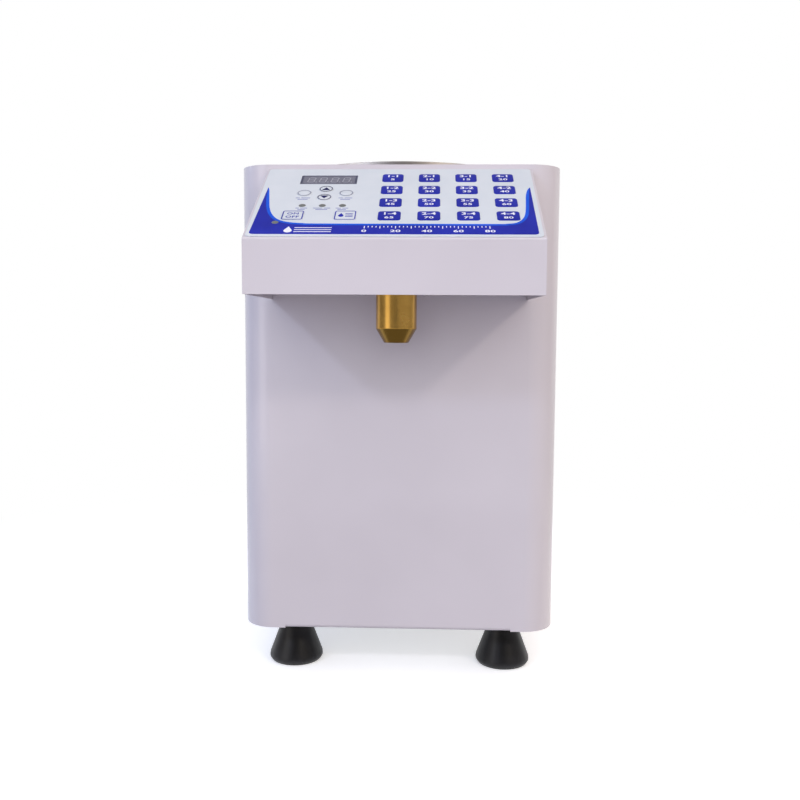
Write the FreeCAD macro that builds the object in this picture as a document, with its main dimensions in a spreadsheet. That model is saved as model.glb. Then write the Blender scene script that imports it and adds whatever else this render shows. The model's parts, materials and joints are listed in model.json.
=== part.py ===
import FreeCAD, Part
import Sketcher
import math
import os

# A countertop dispenser that doses fructose syrup: a painted sheet cabinet on four rubber feet,
# a sloped keypad console over a brass nozzle, and a heated tank, gear pump and electrics inside.
# X points right, Y to the rear, Z up. The origin lies on the table under the middle.
# Sizes are in millimetres and degrees.

os.makedirs("parts", exist_ok=True)
doc = FreeCAD.newDocument("fructose_dispenser")
sheet = doc.addObject("Spreadsheet::Sheet", "Sizes")
finished = []
X_AXIS = FreeCAD.Vector(1, 0, 0)
Y_AXIS = FreeCAD.Vector(0, 1, 0)
Z_AXIS = FreeCAD.Vector(0, 0, 1)


class Size:
    # a length or an angle: its number, and the expression that gives it in the document
    def __init__(self, number, text):
        self.number = number
        self.text = text

    def __add__(self, other):
        other = as_size(other)
        return Size(self.number + other.number, f"({self.text} + {other.text})")

    def __sub__(self, other):
        other = as_size(other)
        return Size(self.number - other.number, f"({self.text} - {other.text})")

    def __mul__(self, other):
        other = as_size(other)
        return Size(self.number * other.number, f"({self.text} * {other.text})")

    def __truediv__(self, other):
        other = as_size(other)
        return Size(self.number / other.number, f"({self.text} / {other.text})")

    def __neg__(self):
        return Size(-self.number, f"(0 - {self.text})")

    def __radd__(self, other):
        return as_size(other) + self

    def __rsub__(self, other):
        return as_size(other) - self

    def __rmul__(self, other):
        return as_size(other) * self

    def __rtruediv__(self, other):
        return as_size(other) / self


def as_size(value):
    if isinstance(value, Size):
        return value
    return Size(float(value), f"({float(value):.6f})")


def sine(angle):
    return Size(math.sin(math.radians(angle.number)), f"sin({angle.text})")


def cosine(angle):
    return Size(math.cos(math.radians(angle.number)), f"cos({angle.text})")


def tangent(angle):
    return Size(math.tan(math.radians(angle.number)), f"tan({angle.text})")


def smaller(first, second):
    return Size(min(first.number, second.number), f"min({first.text}; {second.text})")


# Cabinet of bent sheet
body_width = 250.0
body_depth = 255.0
body_height = 365.0
corner_radius = 25.0
sheet_wall = 1.2
seam = 0.3
foot_height = 39.0
lip_bend = 3.2
lip_reach = 16.0
lip_run = 180.0
skirt_height = 12.0

# Console and its sloped panel
console_side_step = 0.5
console_reach = 105.0
console_drop = 4.7
console_face_height = 36.5
panel_slope = 32.1
panel_ledge = 7.0
crease_radius = 2.0
floor_flange_height = 24.0
front_window_width = 140.0
front_window_height = 40.0
front_window_lift = 34.0
side_screw_setback = 34.0

# Keypad
overlay_margin = 1.6
overlay_thickness = 0.6
key_width = 15.6
key_length = 14.6
key_corner = 1.6
key_pitch_across = 26.9
key_pitch_up = 21.5
first_key_across = -4.2
first_key_up = 32.5
key_proud = 1.0
key_depth = 2.2
key_travel = 0.45
key_gap = 0.35
round_key_radius = 5.2
arrow_across = -51.6
arrow_up = 69.6
arrow_spread_up = 7.1
arrow_spread_across = 15.1
mode_key_width = 14.8
mode_key_length = 14.1
mode_key_up = 32.6
mode_key_spread = 18.0
mode_key_across = -52.2
lamp_radius = 2.5
lamp_up = 49.0
lamp_pitch = 14.1
power_lamp_across = -80.7
power_lamp_up = 22.0
display_across = -51.2
display_up = 94.2
display_width = 41.6
display_length = 16.1
board_depth = 7.0
board_thickness = 1.6
board_margin = 7.0
stud_radius = 2.5
stud_side_inset = 10.5
stud_low_inset = 11.0
stud_high_inset = 10.7
switch_size = 6.0
overlay_corner = 3.0

# Tank and lid
tank_side_room = 27.0
tank_hose_room = 8.7
tank_wall = 0.8
tank_corner = 12.0
tank_clearance = 0.7
rim_reach = 7.0
gasket_height = 1.5
lid_overhang = 1.5
lid_skirt = 6.0
lid_crown = 10.0
lid_wall = 0.8
lid_plug_depth = 8.0
lid_plug_gap = 0.8
lid_lift = 0.1
outlet_radius = 7.0
outlet_nut_radius = 10.0
outlet_shoulder = 12.0
thermostat_radius = 8.0
thermostat_height = 6.0
thermostat_tab_wall = 0.8
thermostat_tab_width = 6.0
thermostat_tab_length = 9.0
heater_margin = 26.0
heater_nut_room = 2.0
heater_height = 4.0

# Hoses, pump and motor
hose_radius = 6.0
hose_bore = 4.0
hose_bend = 22.0
hose_setback = 14.0
hose_spare_down = 10.5
hose_spare_back = 2.1
barb_length = 14.0
barb_wall = 1.2
port_height = 46.0
gear_teeth = 12
gear_module = 1.5
gear_width = 14.0
pressure_angle = 28.0
tooth_backlash = 0.35
tip_clearance = 0.3
shaft_radius = 3.0
shaft_clearance = 0.05
shaft_reach = 14.0
pump_wall = 6.0
pump_side = 9.0
bracket_wall = 2.5
motor_radius = 18.5
gearbox_length = 24.0
motor_length = 52.0
bracket_foot = 34.0
motor_boss_length = 3.0
shaft_end_gap = 1.0
pump_bolt_inset = 5.0

# Nozzle with its drip valve
nozzle_setback = 52.0
nozzle_radius = 14.6
nozzle_drop = 32.3
nozzle_cone = 10.0
nozzle_tip_radius = 8.75
nozzle_bore = 4.0
nozzle_flange_radius = 28.0
nozzle_flange = 3.0
chamber_radius = 8.0
chamber_floor = 12.0
poppet_radius = 6.0
poppet_height = 3.0
poppet_travel = 2.5
spring_radius = 4.6
spring_wire = 0.6
spring_turns = 5
inlet_height = 10.0
inlet_collar = 4.0
seat_gap = 0.1
nozzle_screw_spread = 22.7

# Feet, screws and electrics
foot_inset = 39.0
foot_side_inset = 38.0
foot_top_radius = 11.5
foot_radius = 22.3
foot_lip = 6.0
foot_waist_radius = 14.9
foot_waist = 25.0
foot_web = 14.0
screw_radius = 1.5
screw_head_radius = 2.9
screw_head_height = 2.0
screw_length = 6.0
foot_bolt_radius = 2.5
foot_bore = 8.5
bolt_end_reach = 6.0
rear_panel_side_margin = 26.0
rear_panel_top_margin = 27.0
rear_panel_lift = 22.0
rear_lap = 9.0
vent_side_margin = 5.0
vent_height = 4.0
vent_pitch = 11.0
vent_rows = 8
vent_drop = 40.0
fitting_lift = 58.0
inlet_spread = 42.0
inlet_flange = 2.8
inlet_width = 27.0
inlet_tall = 20.0
inlet_depth = 22.0
inlet_wall = 1.5
inlet_pin_length = 17.0
inlet_pin_pitch = 7.0
switch_width = 13.0
switch_tall = 19.5
switch_depth = 16.0
switch_rim = 1.5
rocker_tilt = 9.0
rocker_depth = 4.6
rocker_width = 10.0
rocker_room = 18.0
rocker_pin = 1.0
rocker_heel = 4.0
rocker_dip = 4.2
rocker_lobe = 6.0
rocker_half = 7.6

# Transformer and control board
electrics_inset = 65.0
electrics_setback = 66.0
core_width = 60.0
core_depth = 32.0
core_height = 46.0
coil_proud = 9.0
control_width = 80.0
control_depth = 64.0
board_standoff = 8.0
standoff_inset = 5.0
relay_width = 15.0
relay_depth = 19.0
relay_height = 15.0
terminal_depth = 8.0
terminal_height = 10.0
sink_wall = 3.0
sink_height = 22.0
capacitor_radius = 6.0
capacitor_height = 20.0
cutter_overrun = 2.0

# Every size above gets a cell of the sheet, and is used below by its alias
plain_sizes = {name: value for name, value in globals().items() if isinstance(value, float)}
for row, (alias, number) in enumerate(plain_sizes.items(), start=1):
    sheet.set(f"B{row}", str(number))
    sheet.setAlias(f"B{row}", alias)
    globals()[alias] = Size(number, f"Sizes.{alias}")

# Places that follow from the sizes
rear_reach = sheet_wall + inlet_flange
front_y = -(console_reach + body_depth + rear_reach) / 2
plate_y = front_y + console_reach
back_y = plate_y + body_depth
middle_y = plate_y + body_depth / 2
top_z = foot_height + body_height
panel_run = console_reach - panel_ledge
panel_rise = panel_run * tangent(panel_slope)
panel_length = panel_run / cosine(panel_slope)
crease_z = top_z - console_drop - panel_rise
console_z = crease_z - console_face_height
base_top_z = foot_height + 2 * sheet_wall
console_width = body_width - 2 * (corner_radius + console_side_step)
rear_panel_width = body_width - 2 * rear_panel_side_margin
rear_panel_height = body_height - rear_panel_lift - rear_panel_top_margin
vent_width = rear_panel_width / 2 - vent_height - vent_side_margin
foot_spread = body_width / 2 - foot_side_inset
electrics_spread = body_width / 2 - electrics_inset
stud_across = console_width / 2 - stud_side_inset
stud_high = panel_length - stud_high_inset
port_z = foot_height + port_height
tank_floor_z = port_z + hose_bend + barb_length + outlet_shoulder + hose_spare_down
tank_depth = top_z + gasket_height - tank_floor_z
tank_radius = smaller(
    body_width / 2 - tank_side_room,
    body_depth / 2 - hose_setback - hose_radius - tank_hose_room - tank_wall,
)
heater_radius = tank_radius - heater_margin
pitch_radius = gear_teeth * gear_module / 2
tip_radius = pitch_radius + 0.8 * gear_module
bore_radius = tip_radius + tip_clearance
pump_span = 2 * (bore_radius + pump_side)
pump_tall = 2 * (pitch_radius + bore_radius + pump_side)
pump_front_y = plate_y + hose_setback + hose_bend + barb_length
pump_back_y = pump_front_y + pump_span
pump_y = pump_front_y + pump_span / 2
drive_z = port_z + pitch_radius
idler_z = port_z - pitch_radius
nozzle_y = plate_y - nozzle_setback
flange_top_z = console_z + sheet_wall + nozzle_flange
inlet_top_z = flange_top_z + inlet_height
loop_z = inlet_top_z + barb_length + hose_bend
outlet_y = pump_back_y + hose_bend + barb_length + hose_spare_back


def bind(piece, **values):
    for name, value in values.items():
        piece.setExpression(name, as_size(value).text)


def move(piece, x=0, y=0, z=0):
    for axis, value in zip("xyz", (x, y, z)):
        piece.setExpression(f"Placement.Base.{axis}", as_size(value).text)


def turn(piece, axis, angle):
    piece.Placement = FreeCAD.Placement(FreeCAD.Vector(), FreeCAD.Rotation(axis, angle))


def block(name, width, depth, height, x=0, y=0, z=0):
    # centred on x and y, standing on z
    piece = doc.addObject("Part::Box", name)
    bind(piece, Length=width, Width=depth, Height=height)
    move(piece, x - as_size(width) / 2, y - as_size(depth) / 2, z)
    return piece


def rod(name, radius, length, x=0, y=0, z=0, along=Z_AXIS):
    # starts at the point and runs along the axis
    piece = doc.addObject("Part::Cylinder", name)
    turn(piece, *direction(along))
    bind(piece, Radius=radius, Height=length)
    move(piece, x, y, z)
    return piece


def direction(along):
    rotation = FreeCAD.Rotation(Z_AXIS, along)
    return rotation.Axis, math.degrees(rotation.Angle)


def cut(name, base, *tools):
    tool = tools[0]
    if len(tools) > 1:
        tool = fuse(name + "_openings", *tools)
    piece = doc.addObject("Part::Cut", name)
    piece.Base = base
    piece.Tool = tool
    return piece


def fuse(name, *parts):
    piece = doc.addObject("Part::MultiFuse", name)
    piece.Shapes = list(parts)
    piece.Refine = True
    return piece


def group(name, parts):
    piece = doc.addObject("Part::Compound", name)
    piece.Links = list(parts)
    return piece


def finish(piece, label=None):
    piece.Label = label or piece.Name
    finished.append(piece)
    return piece


def sketch_on(body, name, role):
    plane = next(item for item in body.Origin.OriginFeatures if item.Role == role)
    sketch = body.newObject("Sketcher::SketchObject", name)
    sketch.AttachmentSupport = (plane, [""])
    sketch.MapMode = "FlatFace"
    return sketch


def outline(sketch, points):
    # a closed outline of straight runs, with each corner held by two bound distances
    corners = [(as_size(x), as_size(y)) for x, y in points]
    first = sketch.GeometryCount
    for index, corner in enumerate(corners):
        after = corners[(index + 1) % len(corners)]
        start = FreeCAD.Vector(corner[0].number, corner[1].number, 0)
        end = FreeCAD.Vector(after[0].number, after[1].number, 0)
        sketch.addGeometry(Part.LineSegment(start, end), False)
    for index, corner in enumerate(corners):
        line = first + index
        before = first + (index - 1) % len(corners)
        sketch.addConstraint(Sketcher.Constraint("Coincident", before, 2, line, 1))
        for kind, value in zip(("DistanceX", "DistanceY"), corner):
            place = sketch.addConstraint(Sketcher.Constraint(kind, -1, 1, line, 1, value.number))
            sketch.renameConstraint(place, f"{kind}_{line}")
            sketch.setExpression(f"Constraints.{kind}_{line}", value.text)


def rectangle(sketch, width, height, x=0, y=0):
    left = x - as_size(width) / 2
    low = y - as_size(height) / 2
    outline(sketch, [(left, low), (left + width, low), (left + width, low + height), (left, low + height)])


def pad(body, sketch, length, centred=False):
    feature = body.newObject("PartDesign::Pad", sketch.Name + "_pad")
    feature.Profile = sketch
    feature.Midplane = centred
    bind(feature, Length=length)
    body.Tip = feature
    return feature


def round_edges(body, base, radius, chosen, name):
    doc.recompute()
    edges = [f"Edge{number + 1}" for number, edge in enumerate(base.Shape.Edges) if chosen(edge)]
    feature = body.newObject("PartDesign::Fillet", name)
    feature.Base = (base, edges)
    bind(feature, Radius=radius)
    body.Tip = feature
    return feature


def upright(edge):
    start, end = edge.Vertexes[0].Point, edge.Vertexes[-1].Point
    return math.hypot(start.x - end.x, start.y - end.y) < 0.001


def rounded_block(name, width, depth, height, radius, x=0, y=0, z=0):
    body = doc.addObject("PartDesign::Body", name)
    sketch = sketch_on(body, name + "_outline", "XY_Plane")
    rectangle(sketch, width, depth)
    base = pad(body, sketch, height)
    round_edges(body, base, radius, upright, name + "_corners")
    move(body, x, y, z)
    return body


def revolved(name, profile, x=0, y=0, z=0):
    # the profile holds (radius, height) corners
    body = doc.addObject("PartDesign::Body", name)
    sketch = sketch_on(body, name + "_profile", "XZ_Plane")
    outline(sketch, profile)
    feature = body.newObject("PartDesign::Revolution", name + "_turned")
    feature.Profile = sketch
    feature.ReferenceAxis = (sketch, ["V_Axis"])
    feature.Angle = 360
    body.Tip = feature
    move(body, x, y, z)
    return body


def seat_on_panel(piece, across, up, proud):
    # across the panel, up its slope from the crease, and proud of its face
    turn(piece, X_AXIS, panel_slope.number)
    piece.setExpression("Placement.Rotation.Angle", panel_slope.text)
    up = as_size(up)
    proud = as_size(proud)
    move(
        piece,
        across,
        front_y + up * cosine(panel_slope) - proud * sine(panel_slope),
        crease_z + up * sine(panel_slope) + proud * cosine(panel_slope),
    )
    return piece


def panel_block(name, width, length, thickness, across, up, proud):
    piece = doc.addObject("Part::Box", name)
    bind(piece, Length=width, Width=length, Height=thickness)
    return seat_on_panel(piece, across - as_size(width) / 2, up - as_size(length) / 2, proud)


def panel_rod(name, radius, thickness, across, up, proud):
    piece = doc.addObject("Part::Cylinder", name)
    bind(piece, Radius=radius, Height=thickness)
    return seat_on_panel(piece, across, up, proud)


def common(name, *parts):
    piece = doc.addObject("Part::MultiCommon", name)
    piece.Shapes = list(parts)
    return piece


def screw(name, x, y, z, along, length=screw_length):
    # a pan head that lies outside the point, and a shank that runs along the axis
    head = rod(name + "_head", screw_head_radius, screw_head_height, x, y, z, along * -1)
    shank = rod(name + "_shank", screw_radius, length, x, y, z, along)
    return fuse(name, head, shank)


def screw_hole(name, x, y, z, along, length=screw_length):
    return rod(name, screw_radius + shaft_clearance, length, x, y, z, along)


# Where the screws of the covers go
rear_screws = []
for side in (-1, 1):
    for row in (0, 0.5, 1):
        rear_screws.append((
            side * (rear_panel_width / 2 - rear_lap / 2),
            back_y + sheet_wall,
            foot_height + rear_panel_lift + rear_lap / 2 + row * (rear_panel_height - rear_lap),
            Y_AXIS * -1,
        ))
side_screws = []
for side in (-1, 1):
    side_screws.append((
        side * console_width / 2,
        front_y + side_screw_setback,
        console_z + console_face_height / 2,
        X_AXIS * -side,
    ))


# Body shell: one bent wrap, whose straight sides fold inward at the bottom
def bent_lip(name, along, side):
    # the fold of one straight side: the wall's foot is cut away and a rounded bend takes its place
    inner_bend = lip_bend - sheet_wall
    leg = lip_reach - lip_bend
    if along == X_AXIS:
        face = middle_y + side * body_depth / 2
        axis_y = face - side * lip_bend
        tube = rod(name + "_tube", lip_bend, lip_run, -lip_run / 2, axis_y, foot_height + lip_bend, X_AXIS)
        bore = rod(name + "_bore", inner_bend, lip_run, -lip_run / 2, axis_y, foot_height + lip_bend, X_AXIS)
        corner_y = face - side * lip_bend / 2
        corner = block(name + "_corner", lip_run, lip_bend, lip_bend, 0, corner_y, foot_height)
        leg_y = face - side * (lip_bend + leg / 2)
        flange = block(name + "_flange", lip_run, leg, sheet_wall, 0, leg_y, foot_height)
    else:
        face = side * body_width / 2
        axis_x = face - side * lip_bend
        start = middle_y - lip_run / 2
        tube = rod(name + "_tube", lip_bend, lip_run, axis_x, start, foot_height + lip_bend, Y_AXIS)
        bore = rod(name + "_bore", inner_bend, lip_run, axis_x, start, foot_height + lip_bend, Y_AXIS)
        corner_x = face - side * lip_bend / 2
        corner = block(name + "_corner", lip_bend, lip_run, lip_bend, corner_x, middle_y, foot_height)
        leg_x = face - side * (lip_bend + leg / 2)
        flange = block(name + "_flange", leg, lip_run, sheet_wall, leg_x, middle_y, foot_height)
    bend = cut(name + "_bend", common(name + "_quarter", tube, corner), bore)
    return corner, bend, flange


def make_body_shell():
    outer = rounded_block("shell_outer", body_width, body_depth, body_height, corner_radius,
                          0, middle_y, foot_height)
    inner = rounded_block("shell_inner", body_width - 2 * sheet_wall, body_depth - 2 * sheet_wall,
                          body_height + 2, corner_radius - sheet_wall, 0, middle_y, foot_height - 1)
    lips = [bent_lip(f"lip_{name}", along, side) for name, along, side in (
        ("front", X_AXIS, -1), ("back", X_AXIS, 1), ("left", Y_AXIS, -1), ("right", Y_AXIS, 1))]
    hose_window = block("hose_window", front_window_width, 4 * sheet_wall, front_window_height,
                        0, plate_y, console_z + front_window_lift)
    service_window = block("service_window", rear_panel_width - 2 * rear_lap, 4 * sheet_wall,
                           rear_panel_height - 2 * rear_lap, 0, back_y,
                           foot_height + rear_panel_lift + rear_lap)
    holes = [screw_hole(f"shell_hole_{number}", *place) for number, place in enumerate(rear_screws)]
    wrap = cut("shell_wrap", outer, inner, hose_window, service_window, *holes,
               *[corner for corner, bend, flange in lips])
    folds = [part for corner, bend, flange in lips for part in (bend, flange)]
    finish(fuse("body_shell", wrap, *folds))


# Base plate: lies on the folded lips and carries the feet, pump and electrics
foot_places = [(across * foot_spread, middle_y + along * (body_depth / 2 - foot_inset))
               for across in (-1, 1) for along in (-1, 1)]


def make_base_plate():
    plate = rounded_block("base_sheet", body_width - 2 * lip_bend, body_depth - 2 * lip_bend, sheet_wall,
                          corner_radius - lip_bend, 0, middle_y, foot_height + sheet_wall)
    holes = [rod(f"base_hole_{number}", foot_bolt_radius + seam, 3 * sheet_wall, x, y, foot_height)
             for number, (x, y) in enumerate(foot_places)]
    finish(cut("base_plate", plate, *holes))


def make_feet():
    # hollow rubber cones with a rounded lower lip, each bolted up through its middle
    tall = foot_height + sheet_wall
    feet = []
    for number, (x, y) in enumerate(foot_places):
        foot = revolved(f"foot_{number}", [
            (foot_bore, 0),
            (foot_radius - foot_lip / 3, 0),
            (foot_radius, foot_lip / 2),
            (foot_radius - 0.3, foot_lip),
            (foot_waist_radius, foot_waist),
            (foot_top_radius, tall),
            (foot_bolt_radius + seam, tall),
            (foot_bolt_radius + seam, foot_web),
            (foot_bore, foot_web),
        ], x, y, 0)
        feet.append(foot)
    finish(group("feet", feet))
    bolts = []
    for number, (x, y) in enumerate(foot_places):
        head = rod(f"bolt_head_{number}", foot_bolt_radius * 2, foot_bolt_radius, x, y,
                   foot_web - foot_bolt_radius)
        shank = rod(f"bolt_shank_{number}", foot_bolt_radius, base_top_z + bolt_end_reach - foot_web,
                    x, y, foot_web)
        bolts.append(fuse(f"foot_bolt_{number}", head, shank))
        nut = doc.addObject("Part::Prism", f"nut_blank_{number}")
        nut.Polygon = 6
        bind(nut, Circumradius=foot_bolt_radius * 1.85, Height=foot_bolt_radius * 1.6)
        move(nut, x, y, base_top_z)
        bore = rod(f"nut_bore_{number}", foot_bolt_radius + shaft_clearance,
                   foot_bolt_radius * 1.6 + cutter_overrun, x, y, base_top_z - cutter_overrun / 2)
        bolts.append(cut(f"foot_nut_{number}", nut, bore))
    finish(group("foot_bolts", bolts))


# Rear service panel with its vents and electrical fittings
fitting_z = foot_height + fitting_lift
inlet_x = -inlet_spread
switch_x = inlet_spread


def make_rear_panel():
    plate = block("rear_sheet", rear_panel_width, sheet_wall, rear_panel_height,
                  0, back_y + sheet_wall / 2, foot_height + rear_panel_lift)
    tools = [screw_hole(f"rear_hole_{number}", *place) for number, place in enumerate(rear_screws)]
    top = foot_height + rear_panel_lift + rear_panel_height - vent_drop
    for row in range(vent_rows):
        for side in (-1, 1):
            z = top - row * vent_pitch
            width = vent_width - vent_height
            x = side * (vent_width / 2 + vent_height)
            tools.append(block(f"vent_{row}_{side + 1}", width, 4 * sheet_wall, vent_height, x, back_y, z))
            for end in (-1, 1):
                tools.append(rod(f"vent_end_{row}_{side + 1}_{end + 1}", vent_height / 2, 4 * sheet_wall,
                                 x + end * width / 2, back_y - 2 * sheet_wall, z + vent_height / 2, Y_AXIS))
    tools.append(block("inlet_cutout", inlet_width + seam, 6 * sheet_wall, inlet_tall + seam,
                       inlet_x, back_y, fitting_z - (inlet_tall + seam) / 2))
    tools.append(block("switch_cutout", switch_width + seam, 6 * sheet_wall, switch_tall + seam,
                       switch_x, back_y, fitting_z - (switch_tall + seam) / 2))
    finish(cut("rear_panel", plate, *tools))
    screws = [screw(f"rear_screw_{number}", *place) for number, place in enumerate(rear_screws)]
    screws += [screw(f"side_screw_{number}", *place) for number, place in enumerate(side_screws)]
    finish(group("cover_screws", screws))


def make_power_inlet():
    # a three-pin appliance inlet, flanged outside the rear panel
    outside = back_y + sheet_wall
    flange = block("inlet_rim", inlet_width + 2 * inlet_flange, inlet_flange, inlet_tall + 2 * inlet_flange,
                   inlet_x, outside + inlet_flange / 2, fitting_z - inlet_tall / 2 - inlet_flange)
    shroud = block("inlet_shroud", inlet_width, inlet_depth, inlet_tall,
                   inlet_x, outside - inlet_depth / 2, fitting_z - inlet_tall / 2)
    hollow_width = inlet_width - 2 * inlet_wall
    hollow_tall = inlet_tall - 2 * inlet_wall
    hollow_depth = inlet_depth - inlet_wall + inlet_flange
    hollow = block("inlet_hollow", hollow_width, hollow_depth, hollow_tall,
                   inlet_x, outside + inlet_flange - hollow_depth / 2, fitting_z - hollow_tall / 2)
    pins = []
    floor_y = outside - inlet_depth + inlet_wall
    for number, (across, lift) in enumerate(((-1, 0.35), (0, -0.35), (1, 0.35))):
        pins.append(block(f"inlet_pin_{number}", 2, inlet_pin_length, 4, inlet_x + across * inlet_pin_pitch,
                          floor_y + inlet_pin_length / 2, fitting_z - lift * inlet_pin_pitch - 2))
    finish(group("power_inlet", [cut("inlet_body", fuse("inlet_blank", flange, shroud), hollow)] + pins))


def make_power_switch():
    outside = back_y + sheet_wall
    pivot_y = outside - rocker_depth
    rim = block("switch_rim", switch_width + 3, switch_rim, switch_tall + 3,
                switch_x, outside + switch_rim / 2, fitting_z - switch_tall / 2 - 1.5)
    box = block("switch_box", switch_width, switch_depth, switch_tall,
                switch_x, outside - switch_depth / 2, fitting_z - switch_tall / 2)
    hollow_depth = switch_depth - 2 + switch_rim
    hollow = block("switch_hollow", rocker_width + 2 * seam, hollow_depth, rocker_room,
                   switch_x, outside + switch_rim - hollow_depth / 2, fitting_z - rocker_room / 2)
    pin_run = rocker_width + 2 * rocker_pin
    socket = rod("rocker_socket", rocker_pin + shaft_clearance, pin_run + seam,
                 switch_x - (pin_run + seam) / 2, pivot_y, fitting_z, X_AXIS)
    finish(cut("switch_frame", fuse("switch_blank", rim, box), hollow, socket))
    body = doc.addObject("PartDesign::Body", "rocker_paddle")
    sketch = sketch_on(body, "rocker_outline", "YZ_Plane")
    outline(sketch, [
        (-rocker_heel, -rocker_heel * 0.8),
        (rocker_dip, -rocker_half + 0.6),
        (rocker_lobe, -rocker_half),
        (rocker_dip, 0),
        (rocker_lobe, rocker_half),
        (rocker_dip, rocker_half - 0.6),
        (-rocker_heel, rocker_heel * 0.8),
    ])
    pad(body, sketch, rocker_width, centred=True)
    turn(body, X_AXIS, rocker_tilt.number)
    body.setExpression("Placement.Rotation.Angle", rocker_tilt.text)
    move(body, switch_x, pivot_y, fitting_z)
    pin = rod("rocker_trunnion", rocker_pin, pin_run, switch_x - pin_run / 2, pivot_y, fitting_z, X_AXIS)
    finish(fuse("switch_rocker", body, pin))


# Top deck: a shallow pan inside the shell's top edge, with the filling hole
def make_top_deck():
    inset = 2 * (sheet_wall + seam)
    pan = rounded_block("deck_pan", body_width - inset, body_depth - inset, skirt_height,
                        corner_radius - sheet_wall - seam, 0, middle_y, top_z - skirt_height)
    under = rounded_block("deck_under", body_width - inset - 2 * sheet_wall,
                          body_depth - inset - 2 * sheet_wall, skirt_height,
                          corner_radius - 2 * sheet_wall - seam, 0, middle_y,
                          top_z - skirt_height - sheet_wall)
    hole = rod("deck_hole", tank_radius + tank_wall + tank_clearance, 3 * sheet_wall, 0, middle_y,
               top_z - 2 * sheet_wall)
    finish(cut("top_deck", pan, under, hole))


# Tank, lid and heater
def make_tank():
    outside = tank_radius + tank_wall
    rim = outside + rim_reach
    tank = revolved("tank_shell", [
        (0, 0),
        (outside, 0),
        (outside, tank_depth),
        (rim, tank_depth),
        (rim, tank_depth + tank_wall),
        (tank_radius, tank_depth + tank_wall),
        (tank_radius, tank_wall),
        (0, tank_wall),
    ], 0, middle_y, tank_floor_z)
    base = tank.Tip
    heel = round_edges(tank, base, tank_corner, lambda edge: on_circle(edge, outside, 0), "tank_heel")
    round_edges(tank, heel, tank_corner - tank_wall, lambda edge: on_circle(edge, tank_radius, tank_wall),
                "tank_cove")
    hole = rod("tank_hole", outlet_radius + seam, 3 * tank_wall, 0, outlet_y, tank_floor_z - tank_wall)
    finish(cut("tank", tank, hole))
    gasket = revolved("tank_gasket", [
        (outside + tank_clearance, 0),
        (rim - tank_clearance, 0),
        (rim - tank_clearance, gasket_height),
        (outside + tank_clearance, gasket_height),
    ], 0, middle_y, top_z)
    finish(gasket)


def on_circle(edge, radius, height):
    # true for a level circle of this radius at this height
    if not isinstance(edge.Curve, Part.Circle):
        return False
    level = abs(edge.Curve.Center.z - as_size(height).number) < 0.01
    return level and abs(edge.Curve.Radius - as_size(radius).number) < 0.01


def make_lid():
    # a spun dome on a rolled band, with a ledge that rests on the tank's rim and a ring that plugs it
    seat_z = top_z + gasket_height + tank_wall
    radius = tank_radius + tank_wall + rim_reach + lid_overhang
    plug = tank_radius - lid_plug_gap
    band = revolved("lid_band", [
        (plug - lid_wall, -lid_plug_depth),
        (plug, -lid_plug_depth),
        (plug, lid_lift),
        (radius, lid_lift),
        (radius, lid_skirt),
        (radius - lid_wall, lid_skirt),
        (radius - lid_wall, lid_lift + lid_wall),
        (plug - lid_wall, lid_lift + lid_wall),
    ], 0, middle_y, seat_z)
    ball_radius = (radius * radius + lid_crown * lid_crown) / (2 * lid_crown)
    centre_z = seat_z + lid_skirt + lid_crown - ball_radius
    outer_ball = ball("lid_outer_ball", ball_radius, 0, middle_y, centre_z)
    inner_ball = ball("lid_inner_ball", ball_radius - lid_wall, 0, middle_y, centre_z)
    slug = rod("lid_slug", radius, lid_crown + 4 * lid_wall, 0, middle_y, seat_z + lid_skirt - 2 * lid_wall)
    dome = cut("lid_dome", common("lid_cap", slug, outer_ball), inner_ball)
    finish(fuse("lid", band, dome))


def ball(name, radius, x, y, z):
    piece = doc.addObject("Part::Sphere", name)
    bind(piece, Radius=radius)
    move(piece, x, y, z)
    return piece


def make_heater():
    pad_z = tank_floor_z - heater_height
    disc = rod("heater_disc", heater_radius, heater_height, 0, middle_y, pad_z)
    clear = rod("heater_clear", outlet_nut_radius + heater_nut_room, 3 * heater_height, 0, outlet_y,
                pad_z - heater_height)
    finish(cut("heating_pad", disc, clear))
    x = heater_radius * 0.55
    y = middle_y + heater_radius * 0.35
    cup = rod("thermostat_cup", thermostat_radius, thermostat_height, x, y, pad_z - thermostat_height)
    tabs = [block(f"thermostat_tab_{side + 1}", thermostat_tab_wall, thermostat_tab_width,
                  thermostat_tab_length, x + side * thermostat_radius / 2, y,
                  pad_z - thermostat_height - thermostat_tab_length) for side in (-1, 1)]
    finish(fuse("thermostat", cup, *tabs))
    finish(revolved("tank_outlet", [
        (hose_bore - barb_wall - shaft_clearance, -outlet_shoulder - barb_length),
        (hose_bore - shaft_clearance, -outlet_shoulder - barb_length),
        (hose_bore - shaft_clearance, -outlet_shoulder),
        (outlet_nut_radius, -outlet_shoulder),
        (outlet_nut_radius, 0),
        (outlet_radius, 0),
        (outlet_radius, tank_wall),
        (outlet_nut_radius, tank_wall),
        (outlet_nut_radius, 2 * tank_wall),
        (hose_bore - barb_wall - shaft_clearance, 2 * tank_wall),
    ], 0, outlet_y, tank_floor_z))


# Hoses: straight runs joined by tangent bends, bored through
def rounded_path(points, bend):
    edges = []
    last = points[0]
    for before, corner, after in zip(points, points[1:], points[2:]):
        arriving = (corner - before).normalize()
        leaving = (after - corner).normalize()
        half_turn = arriving.getAngle(leaving) / 2
        start = corner - arriving * bend * math.tan(half_turn)
        end = corner + leaving * bend * math.tan(half_turn)
        inward = (leaving - arriving).normalize()
        middle = corner + inward * (bend / math.cos(half_turn) - bend)
        edges.append(Part.LineSegment(last, start).toShape())
        edges.append(Part.Arc(start, middle, end).toShape())
        last = end
    edges.append(Part.LineSegment(last, points[-1]).toShape())
    return Part.Wire(edges)


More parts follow.
